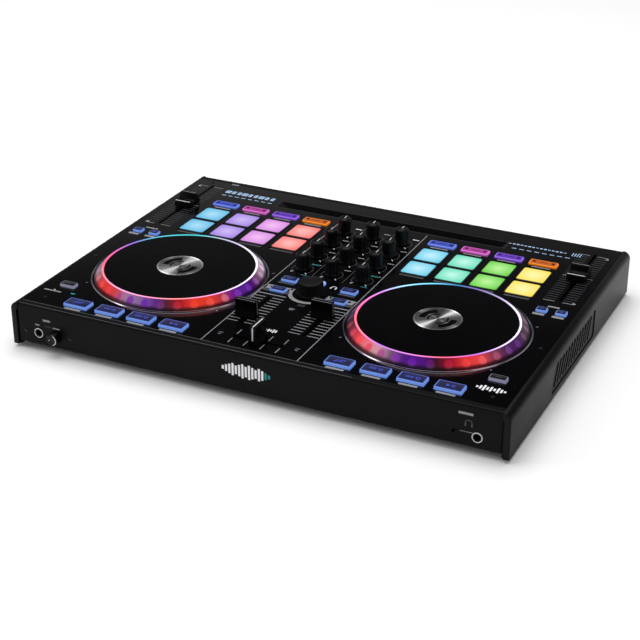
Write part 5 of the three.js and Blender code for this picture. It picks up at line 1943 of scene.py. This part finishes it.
# ---------------------------------------------------------------- studio
@dataclass
class Studio:
    """Pale floor, soft lights and the camera."""

    camera_place: tuple[float, float, float] = (613.15, -1311.42, 722.98)
    camera_target: tuple[float, float, float] = (-6.4, -12.8, 3.4)
    focal: float = 86.74

    def camera(self) -> None:
        """Places the camera."""
        data = bpy.data.cameras.new("camera")
        data.lens = self.focal
        data.sensor_width = 36.0
        data.clip_end = 100.0
        camera = bpy.data.objects.new("camera", data)
        bpy.context.collection.objects.link(camera)
        place, target = Vector(self.camera_place) * MM, Vector(self.camera_target) * MM
        camera.location = place
        camera.rotation_euler = (target - place).to_track_quat("-Z", "Y").to_euler()
        bpy.context.scene.camera = camera

    def floor(self) -> None:
        """Builds the pale floor."""
        bm = bmesh.new()
        bmesh.ops.create_circle(bm, cap_ends=True, radius=30.0, segments=96)
        mesh = bpy.data.meshes.new("floor")
        bm.to_mesh(mesh)
        bm.free()
        piece = bpy.data.objects.new("floor", mesh)
        bpy.context.collection.objects.link(piece)
        dress = Dressing("floor_pale", Roughness=0.9, Specular_IOR_Level=0.1)
        place = dress.make.add("ShaderNodeTexCoord").outputs["Object"]
        cloud = dress.make.add("ShaderNodeTexNoise", {"Vector": place, "Scale": 1.5}).outputs["Fac"]
        dress.wear("Base Color", dress.make.mix(cloud, tint("F2F2F2"), tint("F6F6F6")))
        mesh.materials.append(dress.material)

    def light(self, name: str, place: Sequence[float], size: Point, watts: float) -> None:
        """Adds a soft rectangular light that faces the object.

        Args:
            name: Its name.
            place: Where it is, in metres.
            size: Width and height, in metres.
            watts: Power.
        """
        data = bpy.data.lights.new(name, "AREA")
        data.shape = "RECTANGLE"
        data.size, data.size_y = size
        data.energy = watts
        lamp = bpy.data.objects.new(name, data)
        bpy.context.collection.objects.link(lamp)
        lamp.location = place
        lamp.rotation_euler = (-Vector(place)).to_track_quat("-Z", "Y").to_euler()

    def surroundings(self) -> None:
        """Sets a pale backdrop that gloss sees as a dim studio."""
        world = bpy.data.worlds.new("studio")
        bpy.context.scene.world = world
        world.use_nodes = True
        world.node_tree.nodes.clear()
        make = NodeMaker(world.node_tree)
        rays = make.add("ShaderNodeLightPath").outputs
        around = make.add("ShaderNodeTexCoord").outputs["Generated"]
        height = make.add("ShaderNodeSeparateXYZ", {0: around}).outputs[2]
        dim = make.ramp(height, ((0.0, tint("A0A0A4")), (0.355, tint("989898")), (0.375, tint("848486")),
                                 (0.395, tint("464648")), (0.412, tint("202022")), (0.44, tint("0A0A0B")),
                                 (0.9, tint("141416"))))
        lit = make.mix(rays["Is Glossy Ray"], tint("B8B8BA"), dim)
        seen = make.mix(rays["Is Camera Ray"], lit, tint("F4F4F4"))
        back = make.add("ShaderNodeBackground", {"Color": seen, "Strength": 1.0})
        make.add("ShaderNodeOutputWorld", {"Surface": back.outputs[0]})

    def build(self) -> None:
        """Builds the studio."""
        self.camera()
        self.floor()
        self.surroundings()
        self.light("overhead_softbox", (-0.3, 0.3, 2.6), (2.4, 2.4), 60.0)
        self.light("right_softbox", (2.4, -0.4, 1.3), (1.2, 1.2), 2.5)
        self.light("left_softbox", (-2.2, -1.2, 1.6), (1.0, 1.0), 10.0)
        bpy.context.scene.view_settings.view_transform = "Standard"


PAD_COLOURS = {
    Side.LEFT: (("AEDFF6", "4AB4E0"), ("D0BAF2", "9A78E0"), ("F4BEF2", "D080DC"), ("FFC2BE", "FF6460")),
    Side.RIGHT: (("C4F0FB", "4CC8E8"), ("C6F8EC", "3CD8AC"), ("C2F6A2", "4CCC14"), ("FFF6B4", "FFE030")),
}


def main() -> None:
    """Builds the controller and its studio."""
    logging.basicConfig(level=logging.INFO, format="%(message)s")
    layout = Layout()
    Studio().build()
    effects = Effects()
    finishes = Finishes(effects)
    Housing(layout, finishes).build()
    for side in Side:
        JogWheel(side, layout, finishes, effects).build()
        Keys(side, layout, finishes, effects, pad_colours=PAD_COLOURS[side]).build()
    Mixer(layout, finishes).build(Keys(Side.RIGHT, layout, finishes, effects))
    Fittings(layout, finishes).build()
    marks = Print(layout, finishes)
    marks.build_panel()
    marks.build_front()


if __name__ == "__main__":
    main()
